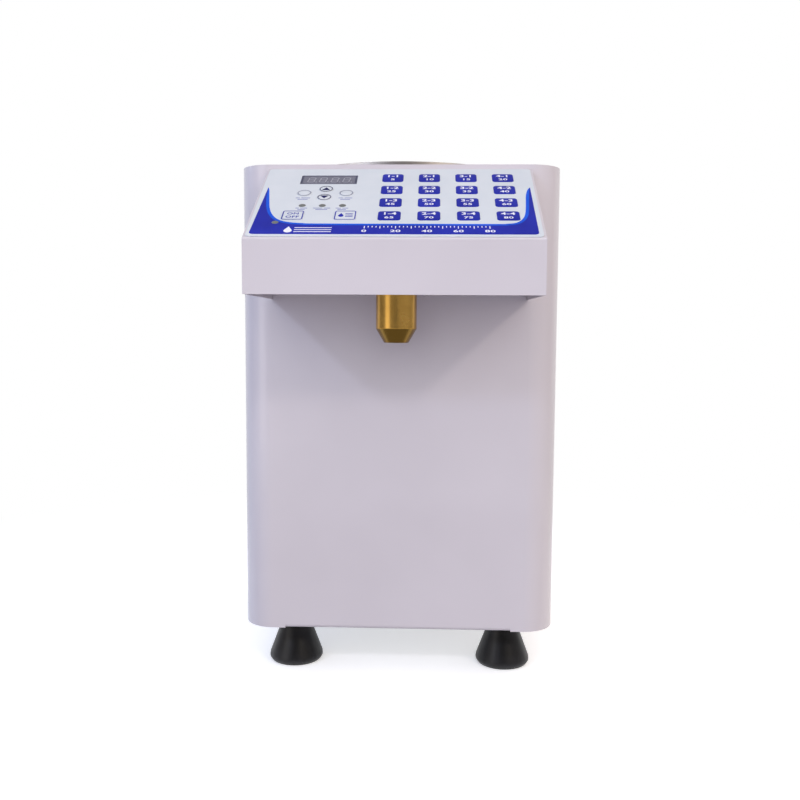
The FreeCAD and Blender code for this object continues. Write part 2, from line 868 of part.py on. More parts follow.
def make_hose(label, places):
    points = [FreeCAD.Vector(0, as_size(y).number, as_size(z).number) for y, z in places]
    path = rounded_path(points, hose_bend.number)
    tubes = []
    for radius in (hose_radius, hose_bore):
        ring = Part.Wire(Part.Circle(points[0], points[1] - points[0], radius.number).toShape())
        tubes.append(path.makePipeShell([ring], True, False))
    hose = doc.addObject("Part::Feature", label)
    hose.Shape = tubes[0].cut(tubes[1])
    finish(hose)


def make_hoses():
    make_hose("suction_hose", [
        (outlet_y, tank_floor_z - outlet_shoulder),
        (outlet_y, port_z),
        (pump_back_y, port_z),
    ])
    make_hose("delivery_hose", [
        (pump_front_y, port_z),
        (plate_y + hose_setback, port_z),
        (plate_y + hose_setback, loop_z),
        (nozzle_y, loop_z),
        (nozzle_y, inlet_top_z),
    ])


# Gear pump: two meshed gears in a figure-of-eight bore, driven straight from the gear motor
def gear_outline():
    # teeth with involute flanks, radial below the base circle, centred on the first tooth
    pitch = pitch_radius.number
    alpha = math.radians(pressure_angle.number)
    base = pitch * math.cos(alpha)
    root = pitch - 0.8 * gear_module.number - tip_clearance.number
    tooth = math.pi * gear_module.number / 2 - tooth_backlash.number

    def half_angle(radius):
        at_radius = math.acos(min(1.0, base / radius))
        spread = math.tan(alpha) - alpha - math.tan(at_radius) + at_radius
        return tooth / (2 * pitch) + spread

    def spot(radius, angle):
        return FreeCAD.Vector(radius * math.cos(angle), radius * math.sin(angle), 0)

    tip = tip_radius.number
    middle = (base + tip) / 2
    step = 2 * math.pi / gear_teeth
    edges = []
    for number in range(gear_teeth):
        turned = number * step
        foot_angle = half_angle(base)
        tip_angle = half_angle(tip)
        low, high = spot(root, turned - foot_angle), spot(root, turned + foot_angle)
        rise = spot(base, turned - foot_angle)
        fall = spot(base, turned + foot_angle)
        crest = spot(tip, turned - tip_angle)
        brow = spot(tip, turned + tip_angle)
        next_low = spot(root, turned + step - foot_angle)
        edges.append(Part.LineSegment(low, rise).toShape())
        edges.append(Part.Arc(rise, spot(middle, turned - half_angle(middle)), crest).toShape())
        edges.append(Part.Arc(crest, spot(tip, turned), brow).toShape())
        edges.append(Part.Arc(brow, spot(middle, turned + half_angle(middle)), fall).toShape())
        edges.append(Part.LineSegment(fall, high).toShape())
        edges.append(Part.Arc(high, spot(root, turned + step / 2), next_low).toShape())
    return Part.Wire(edges)


def make_gear(label, centre_z, turned, shaft_start, shaft_end):
    # the gear and its shaft are one piece; the axis runs along X
    width = gear_width.number - 2 * tip_clearance.number
    wheel = Part.Face(gear_outline()).extrude(Z_AXIS * width)
    wheel.translate(Z_AXIS * (-width / 2))
    wheel.rotate(FreeCAD.Vector(), Z_AXIS, turned)
    length = as_size(shaft_end - shaft_start).number
    start = Z_AXIS * as_size(shaft_start).number
    shaft = Part.makeCylinder(shaft_radius.number, length, start, Z_AXIS)
    gear = doc.addObject("Part::Feature", label)
    gear.Shape = wheel.fuse(shaft).removeSplitter()
    turn(gear, *direction(X_AXIS))
    move(gear, 0, pump_y, centre_z)
    finish(gear)


body_end_x = gear_width / 2 + pump_wall
bracket_end_x = body_end_x + bracket_wall
cover_end_x = -gear_width / 2 - pump_wall


def make_pump():
    half_hole = shaft_radius + shaft_clearance
    blank = block("pump_blank", gear_width + pump_wall, pump_span, pump_tall,
                  pump_wall / 2, pump_y, port_z - pump_tall / 2)
    barbs = [rod("delivery_barb", hose_bore - shaft_clearance, barb_length, 0, pump_front_y, port_z,
                 Y_AXIS * -1),
             rod("suction_barb", hose_bore - shaft_clearance, barb_length, 0, pump_back_y, port_z, Y_AXIS)]
    chambers = [rod(f"gear_chamber_{number}", bore_radius, gear_width, -gear_width / 2, pump_y, z, X_AXIS)
                for number, z in enumerate((drive_z, idler_z))]
    port_run = pump_span + 2 * barb_length + cutter_overrun
    port = rod("pump_port", hose_bore - barb_wall, port_run, 0, pump_y - port_run / 2, port_z, Y_AXIS)
    drive_hole = rod("drive_hole", half_hole, 2 * pump_wall, gear_width / 2 - 1, pump_y, drive_z, X_AXIS)
    idler_hole = rod("idler_hole", half_hole, pump_wall * 0.7, gear_width / 2, pump_y, idler_z, X_AXIS)
    finish(cut("pump_body", fuse("pump_casting", blank, *barbs), *chambers, port, drive_hole, idler_hole))
    plate = block("pump_lid_blank", pump_wall, pump_span, pump_tall,
                  cover_end_x + pump_wall / 2, pump_y, port_z - pump_tall / 2)
    stub = pump_wall * 0.7
    holes = [rod(f"cover_hole_{number}", half_hole, stub, -gear_width / 2 - stub, pump_y, z, X_AXIS)
             for number, z in enumerate((drive_z, idler_z))]
    bolts = [rod(f"pump_bolt_{number}", screw_head_radius, screw_head_height, cover_end_x,
                 pump_y + y * (pump_span / 2 - pump_bolt_inset),
                 port_z + z * (pump_tall / 2 - pump_bolt_inset), X_AXIS * -1)
             for number, (y, z) in enumerate(((-1, -1), (-1, 1), (1, -1), (1, 1)))]
    finish(cut("pump_cover", fuse("pump_cover_bolted", plate, *bolts), *holes))
    stub_end = gear_width / 2 + stub - tip_clearance
    make_gear("drive_gear", drive_z, 0, -stub_end, bracket_end_x + shaft_reach - shaft_end_gap)
    make_gear("idler_gear", idler_z, 180 / gear_teeth, -stub_end, stub_end)


def make_pump_bracket():
    wall_x = body_end_x + bracket_wall / 2
    tall = port_z + pump_tall / 2 - base_top_z
    upright_plate = block("bracket_upright", bracket_wall, pump_span, tall, wall_x, pump_y, base_top_z)
    foot = block("bracket_foot", bracket_foot, pump_span, bracket_wall,
                 body_end_x + bracket_foot / 2, pump_y, base_top_z)
    hole = rod("bracket_hole", shaft_radius * 2, 3 * bracket_wall, body_end_x - bracket_wall, pump_y,
               drive_z, X_AXIS)
    finish(cut("pump_bracket", fuse("bracket_blank", upright_plate, foot), hole))
    gearbox = rod("gearbox_case", motor_radius, gearbox_length, bracket_end_x, pump_y, drive_z, X_AXIS)
    can = rod("motor_can", motor_radius - 1, motor_length, bracket_end_x + gearbox_length, pump_y,
              drive_z, X_AXIS)
    boss = rod("motor_boss", motor_radius / 3, motor_boss_length,
               bracket_end_x + gearbox_length + motor_length, pump_y, drive_z, X_AXIS)
    socket = rod("motor_socket", shaft_radius + shaft_clearance, shaft_reach, bracket_end_x, pump_y,
                 drive_z, X_AXIS)
    finish(cut("gear_motor", fuse("motor_blank", gearbox, can, boss), socket))


# Nozzle: a brass sleeve that holds a sprung drip valve under the hose inlet
nozzle_tip_z = console_z - nozzle_drop
sleeve_top = nozzle_drop + sheet_wall + nozzle_flange
seat_depth = hose_bore
poppet_top = sleeve_top - seat_depth - seat_gap


def make_nozzle():
    sleeve = revolved("nozzle_sleeve", [
        (nozzle_bore, 0),
        (nozzle_tip_radius, 0),
        (nozzle_radius, nozzle_cone),
        (nozzle_radius, nozzle_drop + sheet_wall),
        (nozzle_flange_radius, nozzle_drop + sheet_wall),
        (nozzle_flange_radius, sleeve_top),
        (chamber_radius, sleeve_top),
        (chamber_radius, chamber_floor),
        (nozzle_bore, chamber_floor),
    ], 0, nozzle_y, nozzle_tip_z)
    tools = [screw_hole(f"nozzle_hole_{side + 1}", side * nozzle_screw_spread, nozzle_y,
                        console_z - 1, Z_AXIS) for side in (-1, 1)]
    finish(cut("nozzle", sleeve, *tools))
    inner = hose_bore - barb_wall
    finish(revolved("nozzle_inlet", [
        (inner, sleeve_top - seat_depth),
        (chamber_radius - shaft_clearance, sleeve_top - seat_depth),
        (chamber_radius - shaft_clearance, sleeve_top),
        (chamber_radius + inlet_collar, sleeve_top),
        (chamber_radius + inlet_collar, sleeve_top + inlet_height),
        (hose_bore - shaft_clearance, sleeve_top + inlet_height),
        (hose_bore - shaft_clearance, sleeve_top + inlet_height + barb_length),
        (inner, sleeve_top + inlet_height + barb_length),
    ], 0, nozzle_y, nozzle_tip_z))
    screws = [screw(f"nozzle_screw_{side + 1}", side * nozzle_screw_spread, nozzle_y, console_z, Z_AXIS,
                    sheet_wall + nozzle_flange) for side in (-1, 1)]
    finish(group("nozzle_screws", screws))
    finish(revolved("valve_poppet", [
        (0, poppet_top - 2 * poppet_height),
        (poppet_radius / 2, poppet_top - 2 * poppet_height),
        (poppet_radius / 2, poppet_top - poppet_height),
        (poppet_radius, poppet_top - poppet_height),
        (poppet_radius, poppet_top),
        (0, poppet_top),
    ], 0, nozzle_y, nozzle_tip_z))
    low = as_size(chamber_floor + spring_wire + seat_gap).number
    high = as_size(poppet_top - poppet_height - spring_wire - seat_gap).number
    helix = Part.makeHelix((high - low) / spring_turns, high - low, spring_radius.number)
    start = FreeCAD.Vector(spring_radius.number, 0, 0)
    ring = Part.Wire(Part.Circle(start, Y_AXIS, spring_wire.number).toShape())
    spring = doc.addObject("Part::Feature", "valve_spring")
    spring.Shape = Part.Wire(helix.Edges).makePipeShell([ring], True, True)
    move(spring, 0, nozzle_y, nozzle_tip_z + chamber_floor + spring_wire + seat_gap)
    finish(spring)


# Console: a folded cover over a tray floor, with the sloped keypad panel
dose_keys = []
for column in range(4):
    for row in range(4):
        dose_keys.append((
            f"key_{column + 1}_{row + 1}",
            first_key_across + column * key_pitch_across,
            first_key_up + (3 - row) * key_pitch_up,
        ))
round_keys = [
    ("key_up", arrow_across, arrow_up + arrow_spread_up),
    ("key_down", arrow_across, arrow_up - arrow_spread_up),
    ("key_left", arrow_across - arrow_spread_across, arrow_up),
    ("key_right", arrow_across + arrow_spread_across, arrow_up),
]
mode_keys = [
    ("key_mode_left", mode_key_across - mode_key_spread, mode_key_up),
    ("key_mode_right", mode_key_across + mode_key_spread, mode_key_up),
]
lamps = [(arrow_across + place * lamp_pitch, lamp_up) for place in (-1, 0, 1)]
lamps.append((power_lamp_across, power_lamp_up))


def make_panel_windows():
    deep = 5 * sheet_wall
    low = -deep / 2
    tools = [panel_block(f"window_{name}", key_width + 2 * key_gap, key_length + 2 * key_gap, deep,
                         across, up, low) for name, across, up in dose_keys]
    tools += [panel_rod(f"window_{name}", round_key_radius + key_gap, deep, across, up, low)
              for name, across, up in round_keys]
    tools += [panel_block(f"window_{name}", mode_key_width + 2 * key_gap, mode_key_length + 2 * key_gap,
                          deep, across, up, low) for name, across, up in mode_keys]
    tools += [panel_rod(f"window_lamp_{number}", lamp_radius + key_gap, deep, across, up, low)
              for number, (across, up) in enumerate(lamps)]
    tools.append(panel_block("window_display", display_width + 2 * key_gap, display_length + 2 * key_gap,
                             deep, display_across, display_up, low))
    return fuse("panel_windows", *tools)


def console_solid(name, points, width):
    body = doc.addObject("PartDesign::Body", name)
    sketch = sketch_on(body, name + "_outline", "YZ_Plane")
    outline(sketch, points)
    pad(body, sketch, width, centred=True)
    move(body, 0, front_y, console_z)
    return body


def make_console_cover(windows):
    slack = cutter_overrun
    outer = console_solid("cover_outer", [
        (0, 0),
        (0, console_face_height),
        (panel_run, console_face_height + panel_rise),
        (console_reach, console_face_height + panel_rise),
        (console_reach, 0),
    ], console_width)
    crease = console_face_height.number
    round_edges(outer, outer.Tip, crease_radius, lambda edge: along_crease(edge, crease), "cover_crease")
    inner_crease = console_face_height + sheet_wall * tangent(panel_slope) - sheet_wall / cosine(panel_slope)
    inner_top = console_face_height + panel_rise - sheet_wall
    inner_run = panel_run + sheet_wall * (1 / cosine(panel_slope) - 1) / tangent(panel_slope)
    inner = console_solid("cover_inner", [
        (sheet_wall, -slack),
        (sheet_wall, inner_crease),
        (inner_run, inner_top),
        (console_reach + slack, inner_top),
        (console_reach + slack, -slack),
    ], console_width - 2 * sheet_wall)
    holes = [screw_hole(f"side_hole_{number}", *place) for number, place in enumerate(side_screws)]
    shell = cut("cover_shell", outer, inner, windows, *holes)
    studs = [panel_rod(f"board_stud_{number}", stud_radius, board_depth - sheet_wall / 2,
                       x * stud_across, y, -board_depth)
             for number, (x, y) in enumerate(((-1, stud_low_inset), (1, stud_low_inset),
                                     (-1, stud_high), (1, stud_high)))]
    finish(fuse("console_cover", shell, *studs))


def along_crease(edge, height):
    # true for the level edge between the front face and the slope
    start, end = edge.Vertexes[0].Point, edge.Vertexes[-1].Point
    level = abs(start.z - height) < 0.01 and abs(end.z - height) < 0.01
    return level and abs(start.y) < 0.01 and abs(end.y) < 0.01


def make_console_floor():
    inner_width = console_width - 2 * (sheet_wall + seam)
    depth = console_reach - sheet_wall - seam
    y = plate_y - depth / 2
    parts = [
        block("floor_sheet", inner_width, depth, sheet_wall, 0, y, console_z),
        block("floor_rear", inner_width, sheet_wall, floor_flange_height, 0, plate_y - sheet_wall / 2,
              console_z),
    ]
    for side in (-1, 1):
        x = side * (inner_width / 2 - sheet_wall / 2)
        parts.append(block(f"floor_side_{side + 1}", sheet_wall, depth, floor_flange_height, x, y, console_z))
    tools = [rod("nozzle_opening", nozzle_radius + seam, 3 * sheet_wall, 0, nozzle_y,
                 console_z - sheet_wall)]
    tools += [screw_hole(f"floor_hole_{side + 1}", side * nozzle_screw_spread, nozzle_y, console_z - 1,
                         Z_AXIS) for side in (-1, 1)]
    tools += [screw_hole(f"flange_hole_{number}", *place) for number, place in enumerate(side_screws)]
    finish(cut("console_floor", fuse("floor_tray", *parts), *tools))


# Keypad: overlay sheet, key caps, and a board with switches, lamps and display
def make_keypad(windows):
    overlay = rounded_block("overlay_sheet", console_width - 2 * overlay_margin,
                            panel_length - 2 * overlay_margin, overlay_thickness, overlay_corner)
    seat_on_panel(overlay, 0, panel_length / 2, 0)
    finish(cut("keypad_overlay", overlay, windows))
    tall = key_depth + key_proud
    for name, across, up in dose_keys:
        key = rounded_block(name, key_width, key_length, tall, key_corner)
        finish(seat_on_panel(key, across, up, -key_depth))
    for name, across, up in mode_keys:
        key = rounded_block(name, mode_key_width, mode_key_length, tall, key_corner)
        finish(seat_on_panel(key, across, up, -key_depth))
    bevel = key_proud / 2
    for name, across, up in round_keys:
        key = revolved(name, [
            (0, 0),
            (round_key_radius, 0),
            (round_key_radius, tall - bevel),
            (round_key_radius - bevel, tall),
            (0, tall),
        ])
        finish(seat_on_panel(key, across, up, -key_depth))
    board_width = console_width - 2 * board_margin
    board_length = panel_length - 2 * board_margin
    board = panel_block("board_sheet", board_width, board_length, board_thickness, 0, panel_length / 2,
                        -board_depth - board_thickness)
    finish(board, "keypad_board")
    switches = []
    base = board_depth - key_depth - key_travel - seam
    for name, across, up in dose_keys + round_keys + mode_keys:
        box = panel_block(f"switch_box_{name}", switch_size, switch_size, base * 0.75,
                          across, up, -board_depth)
        button = panel_rod(f"switch_button_{name}", switch_size * 0.28, base, across, up, -board_depth)
        switches.append(fuse(f"switch_{name}", box, button))
    finish(group("tact_switches", switches))
    leds = [panel_rod(f"led_{number}", lamp_radius, board_depth + key_gap, across, up, -board_depth)
            for number, (across, up) in enumerate(lamps)]
    finish(group("indicator_leds", leds))
    display = panel_block("display_block", display_width, display_length, board_depth + key_gap,
                          display_across, display_up, -board_depth)
    finish(display, "display_module")


# Electrics on the base plate
def make_electrics():
    x, y = -electrics_spread, back_y - electrics_setback
    core = block("core_blank", core_width, core_depth, core_height, x, y, base_top_z)
    windows = [block(f"core_window_{side + 1}", core_width / 6, 2 * core_depth, core_height * 0.6,
                     x + side * core_width / 4, y, base_top_z + core_height * 0.2) for side in (-1, 1)]
    coil = block("coil", core_width * 0.6, core_depth + 2 * coil_proud, core_height * 0.6 - seam,
                 x, y, base_top_z + core_height * 0.2 + seam / 2)
    finish(fuse("transformer", cut("core", core, *windows), coil))
    x = electrics_spread
    lift = base_top_z + board_standoff
    parts = [block("control_sheet", control_width, control_depth, board_thickness, x, y, lift)]
    for across in (-1, 1):
        for along in (-1, 1):
            parts.append(rod(f"standoff_{across + 1}_{along + 1}", stud_radius, board_standoff,
                             x + across * (control_width / 2 - standoff_inset),
                             y + along * (control_depth / 2 - standoff_inset),
                             base_top_z))
    top = lift + board_thickness
    for number, across in enumerate((-0.3, 0.0)):
        parts.append(block(f"relay_{number}", relay_width, relay_depth, relay_height,
                           x + across * control_width, y + control_depth * 0.25, top))
    parts.append(block("terminal_strip", control_width * 0.7, terminal_depth, terminal_height,
                       x, y - control_depth * 0.4, top))
    parts.append(block("heat_sink", sink_wall, control_depth * 0.4, sink_height,
                       x + control_width * 0.4, y, top))
    parts.append(rod("capacitor", capacitor_radius, capacitor_height, x + control_width * 0.2,
                     y + control_depth * 0.2, top))
    finish(fuse("control_board", *parts))


make_body_shell()
make_base_plate()
make_feet()
make_rear_panel()
make_power_inlet()
make_power_switch()
make_top_deck()
make_tank()
make_lid()
make_heater()
make_hoses()
make_pump()
make_pump_bracket()
make_nozzle()
panel_windows = make_panel_windows()
make_console_cover(panel_windows)
make_console_floor()
make_keypad(panel_windows)
make_electrics()
doc.recompute()

failed = [item.Name for item in doc.Objects if "Invalid" in item.State or "Error" in item.State]
for piece in finished:
    if piece.Shape.isNull() or not piece.Shape.isValid():
        failed.append(piece.Label)
if failed:
    raise SystemExit("not built: " + ", ".join(failed))
for piece in finished:
    piece.Shape.exportStep(f"parts/{piece.Label}.step")
    print(piece.Label, len(piece.Shape.Solids), round(piece.Shape.Volume, 1))
print(len(finished), "pieces")
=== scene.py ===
import bpy
import bmesh
import json
import math
from mathutils import Matrix, Vector


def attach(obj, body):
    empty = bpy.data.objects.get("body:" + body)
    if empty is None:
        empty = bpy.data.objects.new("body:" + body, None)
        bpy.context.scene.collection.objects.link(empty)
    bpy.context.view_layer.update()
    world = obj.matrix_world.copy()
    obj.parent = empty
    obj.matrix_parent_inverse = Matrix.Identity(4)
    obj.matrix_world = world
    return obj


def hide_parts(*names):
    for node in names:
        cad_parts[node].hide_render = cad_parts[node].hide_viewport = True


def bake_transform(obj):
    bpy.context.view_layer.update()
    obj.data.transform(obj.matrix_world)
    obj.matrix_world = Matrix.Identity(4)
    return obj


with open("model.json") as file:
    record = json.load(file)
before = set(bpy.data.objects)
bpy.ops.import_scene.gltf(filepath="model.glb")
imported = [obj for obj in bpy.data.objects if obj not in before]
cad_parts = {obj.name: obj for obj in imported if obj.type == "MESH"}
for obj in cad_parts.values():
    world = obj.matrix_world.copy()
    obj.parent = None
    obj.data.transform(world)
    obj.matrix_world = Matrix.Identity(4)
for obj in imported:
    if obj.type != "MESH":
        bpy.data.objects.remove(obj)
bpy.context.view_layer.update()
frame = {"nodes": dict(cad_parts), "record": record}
nodes = frame["nodes"]
mm = 0.001
print("frame loaded:", len(nodes), "nodes")


# colour and shader helpers
def linear(code):
    values = [int(code[place:place + 2], 16) / 255 for place in (1, 3, 5)]
    return tuple(v / 12.92 if v <= 0.04045 else ((v + 0.055) / 1.055) ** 2.4 for v in values) + (1.0,)


def addNode(tree, kind, settings=None, links=None):
    node = tree.nodes.new(kind)
    for name, value in (settings or {}).items():
        if isinstance(name, int) or name in node.inputs:
            node.inputs[name].default_value = value
        else:
            setattr(node, name, value)
    for name, source in (links or {}).items():
        tree.links.new(source, node.inputs[name])
    return node


def newMaterial(name, **sockets):
    material = bpy.data.materials.new(name)
    material.use_nodes = True
    tree = material.node_tree
    shader = tree.nodes["Principled BSDF"]
    for socket, value in sockets.items():
        shader.inputs[socket.replace("_", " ")].default_value = value
    coords = addNode(tree, "ShaderNodeTexCoord")
    return material, tree, shader, coords.outputs["Object"]


def tint(tree, coords, scale, low, high):
    # a soft drift between two close colours
    noise = addNode(tree, "ShaderNodeTexNoise", {"Scale": scale, "Detail": 3.0}, {"Vector": coords})
    ramp = addNode(tree, "ShaderNodeValToRGB", links={"Fac": noise.outputs["Fac"]})
    for stop, place, code in zip(ramp.color_ramp.elements, (0.35, 0.65), (low, high)):
        stop.position = place
        stop.color = linear(code)
    return noise.outputs["Fac"], ramp.outputs["Color"]


def bumpFrom(tree, shader, height, depth, strength):
    bump = addNode(tree, "ShaderNodeBump", {"Strength": strength, "Distance": depth}, {"Height": height})
    tree.links.new(bump.outputs["Normal"], shader.inputs["Normal"])


def spread(tree, shader, value, low, high):
    # roughness that drifts between two limits
    remap = addNode(tree, "ShaderNodeMapRange", {"To Min": low, "To Max": high}, {"Value": value})
    tree.links.new(remap.outputs["Result"], shader.inputs["Roughness"])


# grain sizes are spacings in millimetres
finish = {
    "paintPeel": 1.6,  # orange peel of a powder coat is about this wide
    "filmGrain": 0.7,
    "rubberGrain": 0.9,
    "turningGroove": 0.35,  # finer on the real nozzle, drawn as coarse as it needs to show
    "waveTurn": 6.283,  # a wave texture counts in turns
    "brushGrain": 0.5,
    "coneTop": 279.0,  # height above the table at which the nozzle's cone begins
    "coneBlend": 0.1,
    "spinGroove": 0.8,  # much finer on real spun lids, coarse enough here to show
}


def perMetre(spacing):
    return 1.0 / (spacing * mm)


def powderCoat(name, pale, deep):
    # electrostatic powder baked on sheet steel: satin white, faint lilac, softly pebbled, glossy on its bends
    material, tree, shader, coords = newMaterial(name, Specular_IOR_Level=0.4, Coat_Weight=0.45,
                                                 Coat_Roughness=0.1)
    value, colour = tint(tree, coords, 7.0, deep, pale)
    tree.links.new(colour, shader.inputs["Base Color"])
    peel = addNode(tree, "ShaderNodeTexNoise", {"Scale": perMetre(finish["paintPeel"]), "Detail": 1.0},
                   {"Vector": coords})
    spread(tree, shader, value, 0.30, 0.38)
    bumpFrom(tree, shader, peel.outputs["Fac"], 0.02 * mm, 0.35)
    return material


def printedFilm(name, pale, deep, rough=0.34, gloss=0.3):
    # back-printed polyester film with a fine satin texture that spreads its gloss thin
    material, tree, shader, coords = newMaterial(name, Specular_IOR_Level=gloss)
    value, colour = tint(tree, coords, 40.0, deep, pale)
    tree.links.new(colour, shader.inputs["Base Color"])
    grain = addNode(tree, "ShaderNodeTexNoise", {"Scale": perMetre(finish["filmGrain"]), "Detail": 2.0},
                    {"Vector": coords})
    spread(tree, shader, value, rough - 0.04, rough + 0.04)
    bumpFrom(tree, shader, grain.outputs["Fac"], 0.01 * mm, 0.3)
    return material


def turnedBrass(name, pale, deep, paintedConeReflection):
    # free-cutting brass off the lathe: warm yellow with fine rings round the axis,
    # and a darker cone below coneTop, whose colour is a painted dark reflection of the table beneath it
    material, tree, shader, coords = newMaterial(name, Metallic=1.0)
    value, colour = tint(tree, coords, 55.0, deep, pale)
    height = addNode(tree, "ShaderNodeSeparateXYZ", {}, {"Vector": coords})
    cone = addNode(tree, "ShaderNodeMapRange", {"From Min": (finish["coneTop"] - finish["coneBlend"]) * mm,
                                                "From Max": (finish["coneTop"] + finish["coneBlend"]) * mm},
                   {"Value": height.outputs["Z"]})
    # painted reflection: below coneTop the cone takes a darker colour in place of the dim table it would
    # mirror
    shade = addNode(tree, "ShaderNodeMix", {"data_type": "RGBA", 6: linear(paintedConeReflection)},
                    {0: cone.outputs["Result"], 7: colour})
    tree.links.new(shade.outputs[2], shader.inputs["Base Color"])
    ringScale = perMetre(finish["turningGroove"]) / finish["waveTurn"]
    rings = addNode(tree, "ShaderNodeTexWave", {"Scale": ringScale,
                                                "Distortion": 0.4, "bands_direction": "Z"},
                    {"Vector": coords})
    spread(tree, shader, value, 0.22, 0.3)
    bumpFrom(tree, shader, rings.outputs["Fac"], 0.012 * mm, 0.35)
    return material


def spunSteel(name, centre, pale, deep, low, high):
    # stainless sheet spun on a lathe: fine rings round its axis draw the light into a fan
    material, tree, shader, coords = newMaterial(name, Metallic=1.0)
    flat = addNode(tree, "ShaderNodeMapping", {"Location": (-centre[0], -centre[1], 0), "Scale": (1, 1, 0)},
                   {"Vector": coords})
    reach = addNode(tree, "ShaderNodeVectorMath", {"operation": "LENGTH"}, {"Vector": flat.outputs["Vector"]})
    rings = addNode(tree, "ShaderNodeTexNoise",
                    {"noise_dimensions": "1D", "Scale": perMetre(finish["spinGroove"]), "Detail": 2.0},
                    {"W": reach.outputs["Value"]})
    value, colour = tint(tree, coords, 12.0, deep, pale)
    tree.links.new(colour, shader.inputs["Base Color"])
    spread(tree, shader, rings.outputs["Fac"], low, high)
    bumpFrom(tree, shader, rings.outputs["Fac"], 0.01 * mm, 0.25)
    return material


def mouldedRubber(name, pale, deep):
    # black natural rubber from a blasted mould: satin, with a dry bloom on its flanks
    material, tree, shader, coords = newMaterial(name, Specular_IOR_Level=0.45)
    value, colour = tint(tree, coords, 60.0, deep, pale)
    tree.links.new(colour, shader.inputs["Base Color"])
    grain = addNode(tree, "ShaderNodeTexNoise", {"Scale": perMetre(finish["rubberGrain"]), "Detail": 3.0},
                    {"Vector": coords})
    spread(tree, shader, value, 0.36, 0.5)
    bumpFrom(tree, shader, grain.outputs["Fac"], 0.02 * mm, 0.4)
    return material


def brushedSteel(name, pale, deep, stretch, low, high):
    # stainless or plated sheet with a grain drawn along one direction
    material, tree, shader, coords = newMaterial(name, Metallic=1.0)
    mapping = addNode(tree, "ShaderNodeMapping", {"Scale": stretch}, {"Vector": coords})
    grain = addNode(tree, "ShaderNodeTexNoise", {"Scale": perMetre(finish["brushGrain"]) / 4, "Detail": 4.0},
                    {"Vector": mapping.outputs["Vector"]})
    value, colour = tint(tree, coords, 20.0, deep, pale)
    tree.links.new(colour, shader.inputs["Base Color"])
    spread(tree, shader, grain.outputs["Fac"], low, high)
    bumpFrom(tree, shader, grain.outputs["Fac"], 0.008 * mm, 0.3)
    return material


def mouldedPlastic(name, pale, deep, low, high):
    # injection moulded part with the fine spark texture of its tool
    material, tree, shader, coords = newMaterial(name)
    value, colour = tint(tree, coords, 90.0, deep, pale)
    tree.links.new(colour, shader.inputs["Base Color"])
    grain = addNode(tree, "ShaderNodeTexNoise", {"Scale": perMetre(finish["filmGrain"]), "Detail": 2.0},
                    {"Vector": coords})
    spread(tree, shader, value, low, high)
    bumpFrom(tree, shader, grain.outputs["Fac"], 0.01 * mm, 0.3)
    return material


paint = powderCoat("powder_coated_steel", "#D8D2D8", "#D2CCD2")
whiteFilm = printedFilm("polyester_film_white", "#D8DDE2", "#D3D9DF")
blueFilm = printedFilm("polyester_film_deep_blue", "#1E2AA6", "#1A2398", 0.36, 0.14)
brightInk = printedFilm("screen_ink_bright_blue", "#0A5CDE", "#0650D0", 0.36, 0.14)
deepInk = printedFilm("screen_ink_deep_blue", "#1E2AA8", "#1A249A", 0.36, 0.14)
whiteInk = printedFilm("screen_ink_white", "#F0F0F6", "#E8E8F0", 0.4, 0.2)
greyInk = printedFilm("screen_ink_grey", "#8A8DA2", "#7E8198", 0.4, 0.2)
arrowInk = printedFilm("screen_ink_navy", "#1B1E58", "#17194C", 0.4, 0.14)
labelInk = printedFilm("screen_ink_label_blue", "#6F76B4", "#646BAA", 0.4, 0.14)
# the last colour is the nozzle cone's painted dark reflection
brass = turnedBrass("turned_brass", "#C79D52", "#B48C46", "#80652F")
rubber = mouldedRubber("moulded_rubber", "#111117", "#08080B")
lidAxis = (0.0, 0.0505)  # the lid's upright axis, in metres
stainless = spunSteel("spun_stainless_steel", lidAxis, "#CDC8C4", "#BFBAB6", 0.34, 0.46)
zinc = brushedSteel("zinc_plated_steel", "#B4B7BA", "#A6A9AE", (1, 14, 1), 0.3, 0.42)
nickel = brushedSteel("nickel_plated_screw_steel", "#C9C8C8", "#B9B8BA", (1, 1, 1), 0.16, 0.26)
silicone = mouldedPlastic("silicone_rubber", "#D9D7D0", "#CECCC4", 0.4, 0.5)
blackNylon = mouldedPlastic("black_nylon", "#151517", "#0F0F11", 0.28, 0.38)
smokeWindow = mouldedPlastic("smoked_acrylic", "#7F808C", "#777885", 0.1, 0.16)
lampLens = mouldedPlastic("frosted_lamp_lens", "#6E716E", "#656865", 0.3, 0.4)
frameInk = mouldedPlastic("display_frame_ink", "#4C4F66", "#45485E", 0.3, 0.4)
segmentFilm = mouldedPlastic("unlit_display_segments", "#9C9DA6", "#9596A0", 0.3, 0.4)
glassEpoxy = mouldedPlastic("glass_epoxy_board", "#1D6B3A", "#165A30", 0.35, 0.45)
castAluminium = brushedSteel("cast_aluminium", "#BFC0C2", "#B2B3B6", (1, 1, 1), 0.4, 0.52)
groundSteel = brushedSteel("ground_gear_steel", "#A9AAAE", "#9B9CA1", (14, 1, 1), 0.2, 0.3)
motorCase = brushedSteel("chromated_motor_case", "#6E6F75", "#64656B", (1, 1, 1), 0.38, 0.5)
print("materials made")

# every CAD node starts with the finish of its record slot
slotFinish = {
    "painted_white": paint, "zinc_sheet": zinc, "overlay_white": whiteFilm, "key_blue": blueFilm,
    "stainless": stainless, "brass": brass, "black_rubber": rubber, "silicone": silicone,
    "steel_fastener": nickel, "black_plastic": blackNylon, "display_smoke": smokeWindow,
    "lamp_grey": lampLens, "board_green": glassEpoxy, "cast_aluminium": castAluminium,
    "ground_steel": groundSteel, "motor_case": motorCase,
}
slotOf = {entry["node"]: entry["material_slot"] for entry in frame["record"]["subparts"]}
bodyOf = {node: body for body, group in frame["record"]["behaviour"]["bodies"].items() for node in group}
for name, node in nodes.items():
    node.data.materials.clear()
    node.data.materials.append(slotFinish[slotOf[name]])


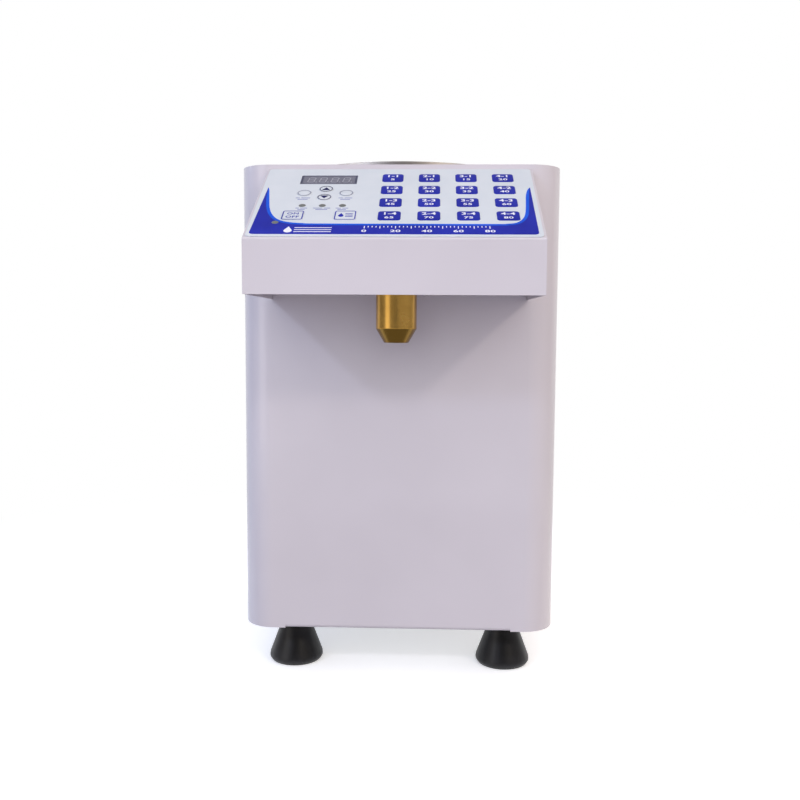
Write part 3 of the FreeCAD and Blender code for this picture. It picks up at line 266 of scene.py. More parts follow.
# mesh helpers
def addPiece(name, mesh, material, body, slot, *replaced):
    piece = bpy.data.objects.new(name, mesh)
    bpy.context.scene.collection.objects.link(piece)
    mesh.materials.clear()
    mesh.materials.append(material)
    if body:  # a piece without a body is attached to none
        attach(piece, body)
    if replaced:
        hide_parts(*replaced)
    return piece


def smoothByAngle(mesh, degrees):
    mesh.polygons.foreach_set("use_smooth", [True] * len(mesh.polygons))
    work = bmesh.new()
    work.from_mesh(mesh)
    limit = math.radians(degrees)
    for edge in work.edges:
        edge.smooth = len(edge.link_faces) == 2 and edge.calc_face_angle(0) < limit
    work.to_mesh(mesh)
    work.free()


def bakeModifiers(piece):
    # the evaluated mesh takes the piece's place, and no modifier stays
    bpy.context.view_layer.update()
    made = bpy.data.meshes.new_from_object(piece.evaluated_get(bpy.context.evaluated_depsgraph_get()))
    made.name = piece.name
    piece.modifiers.clear()
    piece.data = made
    return piece


dressing = {
    "weld": 0.002,  # corners this close become one
    "flatAngle": 0.6,  # faces within this many degrees become one
    "edgeAngle": 30,  # sharper edges are rolled over
}


def rollEdges(piece, width, segments):
    roll = piece.modifiers.new("roll", "BEVEL")
    roll.width = width
    roll.segments = segments
    roll.limit_method = "ANGLE"
    roll.angle_limit = math.radians(dressing["edgeAngle"])
    roll.use_clamp_overlap = True


def flattenNormals(piece):
    # large flat sheets keep one normal all over, so no false shade runs across them
    flat = piece.modifiers.new("flat_sheets", "WEIGHTED_NORMAL")
    flat.mode = "FACE_AREA"
    flat.weight = 100
    flat.keep_sharp = True


def dressedCopy(node, width, segments=2, lift=0.0, below=math.inf):
    # the node's own faces, merged and with their edges rolled over by a small radius
    mesh = nodes[node].data.copy()
    work = bmesh.new()
    work.from_mesh(mesh)
    bmesh.ops.remove_doubles(work, verts=work.verts, dist=dressing["weld"] * mm)
    for vertex in work.verts:
        if vertex.co.z < below:
            vertex.co.z += lift
    bmesh.ops.dissolve_limit(work, angle_limit=math.radians(dressing["flatAngle"]), verts=work.verts,
                             edges=work.edges)
    work.to_mesh(mesh)
    work.free()
    mesh.polygons.foreach_set("use_smooth", [True] * len(mesh.polygons))
    piece = addPiece(node + "_dressed", mesh, slotFinish[slotOf[node]], bodyOf[node], slotOf[node], node)
    rollEdges(piece, width, segments)
    flattenNormals(piece)
    return bakeModifiers(piece)


def arcPoints(centre, radius, start, stop, steps):
    points = []
    for step in range(steps + 1):
        angle = math.radians(start + (stop - start) * step / steps)
        points.append((centre[0] + radius * math.cos(angle), centre[1] + radius * math.sin(angle)))
    return points


# the sloped panel: across, up the slope from its crease, and proud of the sheet, in millimetres
panel = {
    "slope": math.radians(32.1),
    "front": -182.0,  # front face of the console
    "crease": 337.825,  # height of the crease above the table
    "length": 115.68,
    "halfWidth": 99.5,
    "film": 0.6,  # thickness of the overlay
    "ink": 0.02,  # thickness of what is printed
}
panelTurn = Matrix.Rotation(panel["slope"], 4, "X")
panelStart = Vector((0, panel["front"], panel["crease"])) * mm


def onPanel(across, up, proud=0.0):
    return panelStart + panelTurn @ (Vector((across, up, proud)) * mm)


def smoothLine(points, steps):
    # a curve that runs through every point, each span eased by the points beside it
    line = []
    for index in range(len(points) - 1):
        before, start, stop = points[max(index - 1, 0)], points[index], points[index + 1]
        after = points[min(index + 2, len(points) - 1)]
        for step in range(steps):
            part = step / steps
            line.append(tuple(0.5 * (2 * b + (c - a) * part + (2 * a - 5 * b + 4 * c - d) * part ** 2
                                     + (3 * b - a - 3 * c + d) * part ** 3)
                              for a, b, c, d in zip(before, start, stop, after)))
    line.append(tuple(points[-1]))
    return line


def roundedOutline(width, length, corner, across=0.0, up=0.0, steps=6):
    points = []
    for turn, (x, y) in enumerate(((1, 1), (-1, 1), (-1, -1), (1, -1))):
        centre = (across + x * (width / 2 - corner), up + y * (length / 2 - corner))
        points += arcPoints(centre, corner, 90 * turn, 90 * turn + 90, steps)
    return points


def circleOutline(radius, across, up, steps=40):
    return arcPoints((across, up), radius, 0, 360 * (steps - 1) / steps, steps - 1)


def closeWalls(mesh):
    # a filled curve comes with loose faces and walls, merged here into one closed skin
    work = bmesh.new()
    work.from_mesh(mesh)
    bmesh.ops.remove_doubles(work, verts=work.verts, dist=0.001 * mm)
    bmesh.ops.recalc_face_normals(work, faces=work.faces)
    work.to_mesh(mesh)
    work.free()


def meshFromCurve(name, curve):
    holder = bpy.data.objects.new(name + "_outline", curve)
    bpy.context.scene.collection.objects.link(holder)
    bpy.context.view_layer.update()
    mesh = bpy.data.meshes.new_from_object(holder.evaluated_get(bpy.context.evaluated_depsgraph_get()))
    bpy.data.objects.remove(holder)
    mesh.name = name
    closeWalls(mesh)
    return mesh


def printedFigure(name, loops, proud, material, thickness=panel["ink"], body="cabinet",
                  slot="overlay_white", replaced=()):
    # a flat figure on the panel with a hair of thickness; a loop inside a loop is a hole
    curve = bpy.data.curves.new(name, "CURVE")
    curve.dimensions = "2D"
    curve.fill_mode = "BOTH"
    curve.extrude = thickness / 2 * mm
    for loop in loops:
        spline = curve.splines.new("POLY")
        spline.points.add(len(loop) - 1)
        for point, (x, y) in zip(spline.points, loop):
            point.co = (x * mm, y * mm, 0, 1)
        spline.use_cyclic_u = True
    mesh = meshFromCurve(name, curve)
    mesh.transform(Matrix.Translation(onPanel(0, 0, proud + thickness / 2)) @ panelTurn)
    addPiece(name, mesh, material, body, slot, *replaced)


lettering = {
    "capShare": 0.7,  # a capital's height as a share of the font's size
    "spacing": 1.05, "steps": 3,
}


def printedWords(name, words, across, up, height, proud, stretch, bold):
    # plain numerals or capitals, centred on (across, up)
    curve = bpy.data.curves.new(name, "FONT")
    curve.body = words
    curve.size = height / lettering["capShare"] * mm
    curve.align_x = "CENTER"
    curve.extrude = panel["ink"] / 2 * mm
    curve.offset = bold * mm
    curve.resolution_u = lettering["steps"]
    curve.space_character = lettering["spacing"]
    mesh = meshFromCurve(name, curve)
    place = Matrix.Translation(onPanel(across, up - height / 2, proud + panel["ink"] / 2)) @ panelTurn
    mesh.transform(place @ Matrix.Diagonal((stretch, 1, 1, 1)))
    return mesh


# sheet-metal skins: the CAD walls with every edge rolled over a little, as a thick powder coat does
skins = {"body_shell": 0.45, "console_cover": 0.5, "top_deck": 0.35, "rear_panel": 0.35, "base_plate": 0.25}
for node, roll in skins.items():
    dressedCopy(node, roll * mm)
print("sheet skins made")

# the console cover hangs lower than its floor tray, so the tray and the nozzle's flange sit up inside it
tray = {"lift": 3.0, "inletTop": 315.0, "floorRoll": 0.3, "inletRoll": 0.15}
dressedCopy("console_floor", tray["floorRoll"] * mm, lift=tray["lift"] * mm)
dressedCopy("nozzle_inlet", tray["inletRoll"] * mm, lift=tray["lift"] * mm, below=tray["inletTop"] * mm)

rounded = {"tank": 0.2, "feet": 0.7}
for node, roll in rounded.items():
    dressedCopy(node, roll * mm, segments=3)

nozzle = {
    "along": -129.0, "tip": 269.02, "bore": 4.0, "tipRadius": 8.75, "radius": 14.6, "cone": 10.0,
    "flangeLow": 33.5, "flangeTop": 36.5, "flangeRadius": 28.0, "chamber": 8.0, "chamberFloor": 12.0,
    "edge": 0.35, "turns": 128, "smoothAngle": 38,
}


def lathe(name, profile, along, height, turns):
    # a closed profile of (radius, height) pairs turned once round an upright axis
    work = bmesh.new()
    rings = []
    for radius, rise in profile:
        rings.append([work.verts.new((radius * math.cos(2 * math.pi * turn / turns) * mm,
                                      (along + radius * math.sin(2 * math.pi * turn / turns)) * mm,
                                      (height + rise) * mm)) for turn in range(turns)])
    for low, high in zip(rings, rings[1:] + rings[:1]):
        for turn in range(turns):
            after = (turn + 1) % turns
            work.faces.new((low[turn], low[after], high[after], high[turn]))
    bmesh.ops.recalc_face_normals(work, faces=work.faces)
    mesh = bpy.data.meshes.new(name)
    work.to_mesh(mesh)
    work.free()
    smoothByAngle(mesh, nozzle["smoothAngle"])
    return mesh


def roundedCorner(before, corner, after, size, steps=4):
    # a corner of the profile rolled over by a small curve
    before, corner, after = Vector(before), Vector(corner), Vector(after)
    start = corner + (before - corner).normalized() * size
    stop = corner + (after - corner).normalized() * size
    points = []
    for step in range(steps + 1):
        part = step / steps
        points.append(tuple((1 - part) ** 2 * start + 2 * part * (1 - part) * corner + part ** 2 * stop))
    return points


def makeNozzle():
    low, top = nozzle["flangeLow"] + tray["lift"], nozzle["flangeTop"] + tray["lift"]
    bore, radius, wide = nozzle["bore"], nozzle["radius"], nozzle["flangeRadius"]
    chamber, chamberFloor = nozzle["chamber"], nozzle["chamberFloor"]
    corners = [(bore, 0), (nozzle["tipRadius"], 0), (radius, nozzle["cone"]), (radius, low), (wide, low),
               (wide, top), (chamber, top), (chamber, chamberFloor), (bore, chamberFloor)]
    profile = []
    for before, corner, after in zip(corners[-1:] + corners, corners, corners[1:] + corners[:1]):
        profile += roundedCorner(before, corner, after, nozzle["edge"])
    mesh = lathe("nozzle_turned", profile, nozzle["along"], nozzle["tip"], nozzle["turns"])
    addPiece("nozzle_turned", mesh, brass, "cabinet", "brass", "nozzle")


lidCrown = {"deck": 404.0, "squash": 0.75, "roll": 0.5}


def makeLid():
    # what stands above the deck lies a little flatter than the solid
    piece = dressedCopy("lid", lidCrown["roll"] * mm, segments=4)
    deck = lidCrown["deck"] * mm
    for vertex in piece.data.vertices:
        if vertex.co.z > deck:
            vertex.co.z = deck + (vertex.co.z - deck) * lidCrown["squash"]


makeNozzle()
makeLid()
print("turned and moulded parts made")


# Geometry Nodes: what repeats is one small tree for each kind of piece
def newTree(name, sockets):
    tree = bpy.data.node_groups.new(name, "GeometryNodeTree")
    tree.interface.new_socket("Geometry", in_out="INPUT", socket_type="NodeSocketGeometry")
    for label, kind in sockets.items():
        tree.interface.new_socket(label, in_out="INPUT", socket_type="NodeSocket" + kind)
    tree.interface.new_socket("Geometry", in_out="OUTPUT", socket_type="NodeSocketGeometry")
    return tree, tree.nodes.new("NodeGroupInput").outputs


def closeTree(tree, geometry, material):
    real = addNode(tree, "GeometryNodeRealizeInstances", links={"Geometry": geometry})
    dressed = addNode(tree, "GeometryNodeSetMaterial",
                      links={"Geometry": real.outputs["Geometry"], "Material": material})
    tree.links.new(dressed.outputs["Geometry"], tree.nodes.new("NodeGroupOutput").inputs["Geometry"])


def runTree(name, tree, places, values):
    # the tree on a mesh of bare points, and what it makes as a plain mesh
    points = bpy.data.meshes.new(name)
    points.from_pydata([tuple(place) for place in places], [], [])
    holder = bpy.data.objects.new(name, points)
    bpy.context.scene.collection.objects.link(holder)
    modifier = holder.modifiers.new(tree.name, "NODES")
    modifier.node_group = tree
    for item in tree.interface.items_tree:
        if item.in_out == "INPUT" and item.name in values:
            modifier[item.identifier] = values[item.name]
    bpy.context.view_layer.update()
    mesh = bpy.data.meshes.new_from_object(holder.evaluated_get(bpy.context.evaluated_depsgraph_get()))
    holder.modifiers.clear()
    bpy.data.objects.remove(holder)
    mesh.name = name
    return mesh


def combine(tree, x, y, z):
    # a vector from sockets or plain numbers
    node = tree.nodes.new("ShaderNodeCombineXYZ")
    for socket, value in zip(node.inputs, (x, y, z)):
        if isinstance(value, (int, float)):
            socket.default_value = value
        else:
            tree.links.new(value, socket)
    return node.outputs["Vector"]


def times(tree, source, factor):
    return addNode(tree, "ShaderNodeMath", {"operation": "MULTIPLY", 1: factor}, {0: source}).outputs["Value"]


def boxMesh(tree, size, place):
    box = addNode(tree, "GeometryNodeMeshCube", links={"Size": size})
    return addNode(tree, "GeometryNodeTransform",
                   links={"Geometry": box.outputs["Mesh"], "Translation": place}).outputs["Geometry"]


def rodMesh(tree, sides, radius, height, place):
    rod = addNode(tree, "GeometryNodeMeshCylinder", {"Vertices": sides}, {"Radius": radius, "Depth": height})
    return addNode(tree, "GeometryNodeTransform",
                   links={"Geometry": rod.outputs["Mesh"], "Translation": place}).outputs["Geometry"]


def domeMesh(tree, radius, height, segments=28):
    # the upper half of a squashed ball, closed below
    ball = addNode(tree, "GeometryNodeMeshUVSphere",
                   {"Segments": segments, "Rings": segments // 2, "Radius": 1.0})
    scale = combine(tree, radius, radius, height)
    squashed = addNode(tree, "GeometryNodeTransform",
                       links={"Geometry": ball.outputs["Mesh"], "Scale": scale})
    wide = times(tree, radius, 3.0)
    half = boxMesh(tree, combine(tree, wide, wide, times(tree, height, 2.0)), combine(tree, 0, 0, height))
    kept = addNode(tree, "GeometryNodeMeshBoolean", {"operation": "INTERSECT", "solver": "EXACT"})
    for source in (squashed.outputs["Geometry"], half):
        tree.links.new(source, kept.inputs["Mesh 2"])
    return kept.outputs["Mesh"]


def joined(tree, *sources):
    node = tree.nodes.new("GeometryNodeJoinGeometry")
    for source in sources:
        tree.links.new(source, node.inputs["Geometry"])
    return node.outputs["Geometry"]


def onPoints(tree, points, instance, facing):
    turned = addNode(tree, "FunctionNodeAlignRotationToVector", {"axis": "Z"}, {"Vector": facing})
    return addNode(tree, "GeometryNodeInstanceOnPoints",
                   links={"Points": points, "Instance": instance,
                          "Rotation": turned.outputs["Rotation"]}).outputs["Instances"]


def screwTree():
    tree, given = newTree("cross_head_screws", {
        "headRadius": "Float", "headHeight": "Float", "recessWidth": "Float", "recessReach": "Float",
        "recessDepth": "Float", "shankRadius": "Float", "shankLength": "Float", "facing": "Vector",
        "finish": "Material"})
    head = domeMesh(tree, given["headRadius"], given["headHeight"])
    reach, deep = times(tree, given["recessReach"], 2.0), times(tree, given["recessDepth"], 2.0)
    top = combine(tree, 0, 0, given["headHeight"])
    recess = addNode(tree, "GeometryNodeMeshBoolean", {"operation": "DIFFERENCE", "solver": "EXACT"},
                     {"Mesh 1": head})
    narrow = given["recessWidth"]
    for size in (combine(tree, reach, narrow, deep), combine(tree, narrow, reach, deep)):
        tree.links.new(boxMesh(tree, size, top), recess.inputs["Mesh 2"])
    shank = rodMesh(tree, 20, given["shankRadius"], given["shankLength"],
                    combine(tree, 0, 0, times(tree, given["shankLength"], -0.5)))
    whole = joined(tree, recess.outputs["Mesh"], shank)
    closeTree(tree, onPoints(tree, given["Geometry"], whole, given["facing"]), given["finish"])
    return tree


screws = {
    "headRadius": 2.9 * mm, "headHeight": 1.9 * mm, "recessWidth": 0.75 * mm, "recessReach": 1.75 * mm,
    "recessDepth": 1.2 * mm, "shankRadius": 1.45 * mm, "shankLength": 5.9 * mm,
    "rearAcross": 94.5, "rearFace": 179.25, "rearHeights": (65.5, 219.0, 372.5),
    "sideAcross": 99.55, "sideAlong": -148.0, "sideHeight": 319.57,
    "nozzleAcross": 22.7, "nozzleAlong": -129.0, "nozzleFace": 301.27, "nozzleShank": 4.1 * mm,
}


def makeScrews():
    tree = screwTree()
    rear = [(side * screws["rearAcross"] * mm, screws["rearFace"] * mm, height * mm)
            for side in (-1, 1) for height in screws["rearHeights"]]
    meshes = [runTree("rear_screws", tree, rear, {**screws, "facing": (0, 1, 0), "finish": nickel})]
    for side in (-1, 1):
        place = [(side * screws["sideAcross"] * mm, screws["sideAlong"] * mm, screws["sideHeight"] * mm)]
        meshes.append(runTree("side_screw", tree, place,
                              {**screws, "facing": (side, 0, 0), "finish": nickel}))
    cover = joinMeshes("cover_screws_cross", meshes)
    smoothByAngle(cover, 35)
    addPiece("cover_screws_cross", cover, nickel, "cabinet", "steel_fastener", "cover_screws")
    below = [(side * screws["nozzleAcross"] * mm, screws["nozzleAlong"] * mm,
              (screws["nozzleFace"] + tray["lift"]) * mm) for side in (-1, 1)]
    under = runTree("nozzle_screws_cross", tree, below,
                    {**screws, "shankLength": screws["nozzleShank"], "facing": (0, 0, -1), "finish": nickel})
    smoothByAngle(under, 35)
    addPiece("nozzle_screws_cross", under, nickel, "cabinet", "steel_fastener", "nozzle_screws")


def joinMeshes(name, meshes):
    work = bmesh.new()
    for mesh in meshes:
        work.from_mesh(mesh)
        bpy.data.meshes.remove(mesh)
    whole = bpy.data.meshes.new(name)
    work.to_mesh(whole)
    work.free()
    return whole


# the drip valve's spring, in millimetres
spring = {"along": -129.0, "wire": 0.6, "radius": 4.6, "turns": 5.0, "steps": 28, "sides": 12}


def springTree():
    tree, given = newTree("coil_spring", {"wire": "Float", "radius": "Float", "turns": "Float",
                                          "rise": "Float", "finish": "Material"})
    coil = addNode(tree, "GeometryNodeCurveSpiral", {"Resolution": spring["steps"]},
                   {"Rotations": given["turns"], "Start Radius": given["radius"],
                    "End Radius": given["radius"], "Height": given["rise"]})
    section = addNode(tree, "GeometryNodeCurvePrimitiveCircle", {"Resolution": spring["sides"]},
                      {"Radius": given["wire"]})
    swept = addNode(tree, "GeometryNodeCurveToMesh", {"Fill Caps": True},
                    {"Curve": coil.outputs["Curve"], "Profile Curve": section.outputs["Curve"]})
    placed = addNode(tree, "GeometryNodeInstanceOnPoints", {},
                     {"Points": given["Geometry"], "Instance": swept.outputs["Mesh"]})
    closeTree(tree, placed.outputs["Instances"], given["finish"])
    return tree


def makeSpring():
    # the coil spans the CAD spring's height, between its seat in the nozzle and the poppet
    heights = [vertex.co.z for vertex in nodes["valve_spring"].data.vertices]
    low = min(heights) + spring["wire"] * mm
    high = max(heights) - spring["wire"] * mm
    along = spring["along"] * mm
    mesh = runTree("valve_spring_coil", springTree(), [(0, along, low)],
                   {"wire": spring["wire"] * mm, "radius": spring["radius"] * mm, "turns": spring["turns"],
                    "rise": high - low, "finish": nickel})
    work = bmesh.new()
    work.from_mesh(mesh)
    bmesh.ops.recalc_face_normals(work, faces=work.faces)
    work.to_mesh(mesh)
    work.free()
    smoothByAngle(mesh, 50)
    piece = addPiece("valve_spring_coil", mesh, nickel, None, "steel_fastener", "valve_spring")
    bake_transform(piece)


makeSpring()
makeScrews()
print("spring and screws made")

# overlay film and what is printed on it
overlay = {
    "width": 195.8, "length": 112.5, "corner": 3.0, "up": 57.84, "window": 0.07,
    "leftEdge": [(-94.2, 80.2), (-95.7, 10.0)],
    "leftInner": [(-94.2, 80.2), (-92.9, 76.0), (-91.3, 66.0), (-89.8, 56.6), (-87.8, 45.0), (-84.8, 35.2),
                  (-80.7, 28.1), (-75.9, 24.2), (-69.7, 22.0), (-60.7, 20.8), (-50.0, 20.3)],
    "rightInner": [(64.0, 20.0), (74.4, 20.4), (80.8, 21.8), (85.0, 26.4), (87.6, 33.2), (88.9, 42.0),
                   (89.8, 52.0), (91.0, 66.0), (92.8, 75.2), (95.1, 80.3)],
    "leftSide": -60.0, "rightSide": 70.0, "rightEdge": 95.0,  # where the band runs beside an edge
    "farEdge": 99.0, "bandShare": 0.55,
    "bandWidth": 2.3, "lowerCorner": 3.0, "lowerEdge": 4.4, "lowerAcross": (-92.8, 91.9),
    "printLift": 0.012,  # ink stands this far off the film
    "bandLayer": 1.6, "signLayer": 2.4,  # later inks lie on the first
}


def edgeDistance(point):
    # from a point of the inner line to the print's outer edge beside it
    x, up = point
    if x < overlay["leftSide"]:
        (x0, s0), (x1, s1) = overlay["leftEdge"]
        return x - (x0 + (x1 - x0) * (up - s0) / (s1 - s0))
    if x > overlay["rightSide"]:
        return overlay["rightEdge"] - x
    return overlay["farEdge"]


def sideStep(line, index):
    before = Vector(line[max(index - 1, 0)])
    after = Vector(line[min(index + 1, len(line) - 1)])
    along = (after - before).normalized()
    return Vector((along.y, -along.x))


def printOverlay():
    inner = smoothLine(overlay["leftInner"] + overlay["rightInner"], 8)
    shoulder = []
    for index, point in enumerate(inner):
        width = min(overlay["bandWidth"], max(0.0, overlay["bandShare"] * edgeDistance(point)))
        step = sideStep(inner, index) * width
        shoulder.append((point[0] - abs(step.x) * (1 if point[0] < 0 else -1), point[1] - abs(step.y)))
    corner = overlay["lowerCorner"]
    rise = overlay["lowerEdge"] + corner
    left, right = overlay["lowerAcross"]
    lower = overlay["leftEdge"][1:] + arcPoints((left, rise), corner, 180, 270, 8)
    lower += arcPoints((right, rise), corner, 270, 355, 8)
    deep = [inner[0]] + lower + [inner[-1]] + shoulder[::-1]
    printedFigure("print_deep_blue", [deep], panel["film"] + overlay["printLift"], material=deepInk)
    printedFigure("print_bright_band", [inner + shoulder[::-1]],
                  panel["film"] + overlay["bandLayer"] * overlay["printLift"], material=brightInk)


doseScale = {
    "firstAcross": -20.0, "up": 16.6, "count": 33, "pitch": 2.6, "every": 4, "short": 2.0, "long": 3.6,
    "line": 0.6, "numeralUp": 9.4, "numeralHeight": 3.2, "stretch": 1.5, "bold": 0.1, "step": 20,
}


def scaleTree():
    tree, given = newTree("dose_scale_ticks", {
        "count": "Int", "pitch": "Float", "every": "Int", "shortTick": "Float", "longTick": "Float",
        "lineWidth": "Float", "thickness": "Float", "finish": "Material"})
    line = addNode(tree, "GeometryNodeMeshLine", {"mode": "OFFSET"},
                   {"Count": given["count"], "Offset": combine(tree, given["pitch"], 0, 0)})
    place = tree.nodes.new("GeometryNodeInputIndex").outputs["Index"]
    left = addNode(tree, "ShaderNodeMath", {"operation": "MODULO"}, {0: place, 1: given["every"]})
    isLong = addNode(tree, "ShaderNodeMath", {"operation": "LESS_THAN", 1: 0.5}, {0: left.outputs["Value"]})
    tall = addNode(tree, "ShaderNodeMapRange", {},
                   {"Value": isLong.outputs["Value"], "To Min": given["shortTick"],
                    "To Max": given["longTick"]})
    one = combine(tree, 1, 1, 1)
    tick = boxMesh(tree, one, combine(tree, 0, -0.5, 0))  # hangs from the line
    size = combine(tree, given["lineWidth"], tall.outputs["Result"], given["thickness"])
    row = addNode(tree, "GeometryNodeInstanceOnPoints",
                  links={"Points": line.outputs["Mesh"], "Instance": tick, "Scale": size})
    closeTree(tree, row.outputs["Instances"], given["finish"])
    return tree


def makeDoseScale():
    # a plain scale of ticks and numbers in the lower band
    sizes = doseScale
    ticks = runTree("dose_scale_ticks", scaleTree(), [(0, 0, 0)], {
        "count": sizes["count"], "pitch": sizes["pitch"] * mm, "every": sizes["every"],
        "shortTick": sizes["short"] * mm, "longTick": sizes["long"] * mm, "lineWidth": sizes["line"] * mm,
        "thickness": panel["ink"] * mm, "finish": whiteInk})
    proud = panel["film"] + overlay["signLayer"] * overlay["printLift"]
    middle = onPanel(sizes["firstAcross"], sizes["up"], proud + panel["ink"] / 2)
    ticks.transform(Matrix.Translation(middle) @ panelTurn)
    meshes = [ticks]
    for step in range(sizes["count"] // (2 * sizes["every"]) + 1):
        across = sizes["firstAcross"] + 2 * step * sizes["every"] * sizes["pitch"]
        meshes.append(printedWords("number", str(sizes["step"] * step), across, sizes["numeralUp"],
                                   sizes["numeralHeight"], proud, sizes["stretch"], sizes["bold"]))
    addPiece("dose_scale", joinMeshes("dose_scale", meshes), whiteInk, "cabinet", "overlay_white")


dropSign = {
    "across": -70.5, "up": 10.6, "dropUp": 11.2, "size": 4.6,
    "barAcross": -54.0, "barWidth": 25.0, "barHeight": 0.9, "barLifts": (-2.6, 0.4, 3.4),
}


def dropOutline(across, up, size):
    # a plain falling drop: a half circle below, drawn up to a point
    return arcPoints((across, up - size * 0.35), size * 0.6, 150, 390, 20) + [(across, up + size)]


def makeDropSign():
    loops = [dropOutline(dropSign["across"], dropSign["dropUp"], dropSign["size"])]
    for lift in dropSign["barLifts"]:
        loops.append(roundedOutline(dropSign["barWidth"], dropSign["barHeight"], dropSign["barHeight"] / 2.1,
                                    dropSign["barAcross"], dropSign["up"] + lift, 3))
    printedFigure("drop_sign", loops, panel["film"] + overlay["signLayer"] * overlay["printLift"],
                  material=whiteInk)


printOverlay()
makeDoseScale()
makeDropSign()
print("overlay printed")

# dose keys: pillow caps with white numerals, each on a body of its own
doseKey = {
    "width": 15.6, "length": 14.6, "corner": 2.4,
    "low": -2.2, "top": 1.0, "shoulder": 0.5, "crown": 0.22,
    "firstAcross": -4.2, "firstUp": 32.5, "pitchAcross": 26.9, "pitchUp": 21.5,
    "codeHeight": 3.8, "codeUp": 2.9, "codeStretch": 1.3, "codeBold": 0.14,
    "doseHeight": 3.0, "doseUp": -3.2, "doseStretch": 1.5, "doseBold": 0.1, "doseStep": 5,
}
modeKey = {
    "width": 14.8, "length": 14.1, "corner": 1.7, "low": -2.2, "top": 1.0, "shoulder": 0.45, "crown": 0.1,
    "up": 32.6, "across": (-70.2, -34.2), "line": 0.7, "inset": 0.2, "frameCorners": (1.6, 0.9),
    "words": (("ON", 2.5), ("OFF", -2.5)), "wordHeight": 3.0, "wordStretch": 1.2, "wordBold": 0.08,
    "dropAcross": -2.9, "dropUp": 0.2, "dropSize": 3.1,
    "barAcross": 2.6, "barLifts": (-2.2, 0.0, 2.2), "barWidth": 5.2, "barHeight": 0.9, "barCorner": 0.4,
}
roundKey = {
    "radius": 5.2, "low": -2.2, "top": 1.0, "shoulder": 0.5, "crown": 0.25,
    "ringOuter": 4.8, "ringInner": 4.25,
    "places": {"key_up": (-51.6, 76.7), "key_down": (-51.6, 62.5), "key_left": (-66.7, 69.6),
               "key_right": (-36.5, 69.6)},
    "arrowWidth": 6.2, "arrowHeight": 4.8, "arrowTop": 1.01,
}


def ringStack(name, rings, across, up):
    # closed cap from outlines stacked up the panel's normal: bottom face, flanks, shoulder and crown
    work = bmesh.new()
    loops = []
    for outlinePoints, proud in rings:
        loops.append([work.verts.new(onPanel(across + x, up + y, proud)) for x, y in outlinePoints])
    for low, high in zip(loops, loops[1:]):
        for index in range(len(low)):
            after = (index + 1) % len(low)
            work.faces.new((low[index], low[after], high[after], high[index]))
    work.faces.new(loops[0][::-1])
    work.faces.new(loops[-1])
    bmesh.ops.recalc_face_normals(work, faces=work.faces)
    mesh = bpy.data.meshes.new(name)
    work.to_mesh(mesh)
    work.free()
    smoothByAngle(mesh, 40)
    return mesh


def capRings(sizes, outlineFor):
    flank = sizes["top"] - sizes["crown"] - sizes["shoulder"]
    rings = [(outlineFor(0.0), sizes["low"]), (outlineFor(0.0), flank)]
    for step in range(1, 6):
        angle = math.pi / 2 * step / 5
        inset = sizes["shoulder"] * (1 - math.cos(angle))
        rings.append((outlineFor(inset), flank + sizes["shoulder"] * math.sin(angle)))
    reach = sizes["radius"] if "radius" in sizes else min(sizes["width"], sizes["length"]) / 2
    for part in (0.18, 0.36, 0.56, 0.78):
        inset = sizes["shoulder"] + (reach - sizes["shoulder"] - 0.5) * part
        rings.append((outlineFor(inset), sizes["top"] - sizes["crown"] * (1 - part) ** 2))
    return rings


def rectangleFor(sizes):
    def outlineFor(inset):
        corner = max(0.12, sizes["corner"] - inset)
        return roundedOutline(sizes["width"] - 2 * inset, sizes["length"] - 2 * inset, corner)
    return outlineFor


def circleFor(sizes):
    def outlineFor(inset):
        return circleOutline(sizes["radius"] - inset, 0, 0)
    return outlineFor


def makeDoseKeys():
    for column in range(4):
        for row in range(4):
            node = f"key_{column + 1}_{row + 1}"
            across = doseKey["firstAcross"] + column * doseKey["pitchAcross"]
            up = doseKey["firstUp"] + (3 - row) * doseKey["pitchUp"]
            mesh = ringStack(node + "_cap", capRings(doseKey, rectangleFor(doseKey)), across, up)
            addPiece(node + "_cap", mesh, blueFilm, node, "key_blue", node)
            dose = doseKey["doseStep"] * (4 * row + column + 1)
            code = printedWords("code", f"{column + 1}-{row + 1}", across, up + doseKey["codeUp"],
                                doseKey["codeHeight"], doseKey["top"], doseKey["codeStretch"],
                                doseKey["codeBold"])
            amount = printedWords("dose", str(dose), across, up + doseKey["doseUp"], doseKey["doseHeight"],
                                  doseKey["top"], doseKey["doseStretch"], doseKey["doseBold"])
            addPiece(node + "_numerals", joinMeshes(node + "_numerals", [code, amount]), whiteInk, node,
                     "overlay_white")


def makeModeKeys():
    sizes, up = modeKey, modeKey["up"]
    for node, across in zip(("key_mode_left", "key_mode_right"), sizes["across"]):
        mesh = ringStack(node + "_cap", capRings(sizes, rectangleFor(sizes)), across, up)
        addPiece(node + "_cap", mesh, whiteFilm, node, "overlay_white", node)
        frameLines = []
        for shrink, corner in zip((sizes["inset"], sizes["inset"] + sizes["line"]), sizes["frameCorners"]):
            frameLines.append(roundedOutline(sizes["width"] - 2 * shrink, sizes["length"] - 2 * shrink,
                                             corner, across, up))
        printedFigure(node + "_frame", frameLines, sizes["top"], body=node, material=deepInk)
    left, right = sizes["across"]
    words = [printedWords(word, word, left, up + lift, sizes["wordHeight"], sizes["top"],
                          sizes["wordStretch"], sizes["wordBold"]) for word, lift in sizes["words"]]
    addPiece("key_mode_left_words", joinMeshes("key_mode_left_words", words), deepInk, "key_mode_left",
             "overlay_white")
    signs = [dropOutline(right + sizes["dropAcross"], up + sizes["dropUp"], sizes["dropSize"])]
    signs += [roundedOutline(sizes["barWidth"], sizes["barHeight"], sizes["barCorner"],
                             right + sizes["barAcross"], up + lift) for lift in sizes["barLifts"]]
    printedFigure("key_mode_right_signs", signs, sizes["top"], body="key_mode_right", material=deepInk)


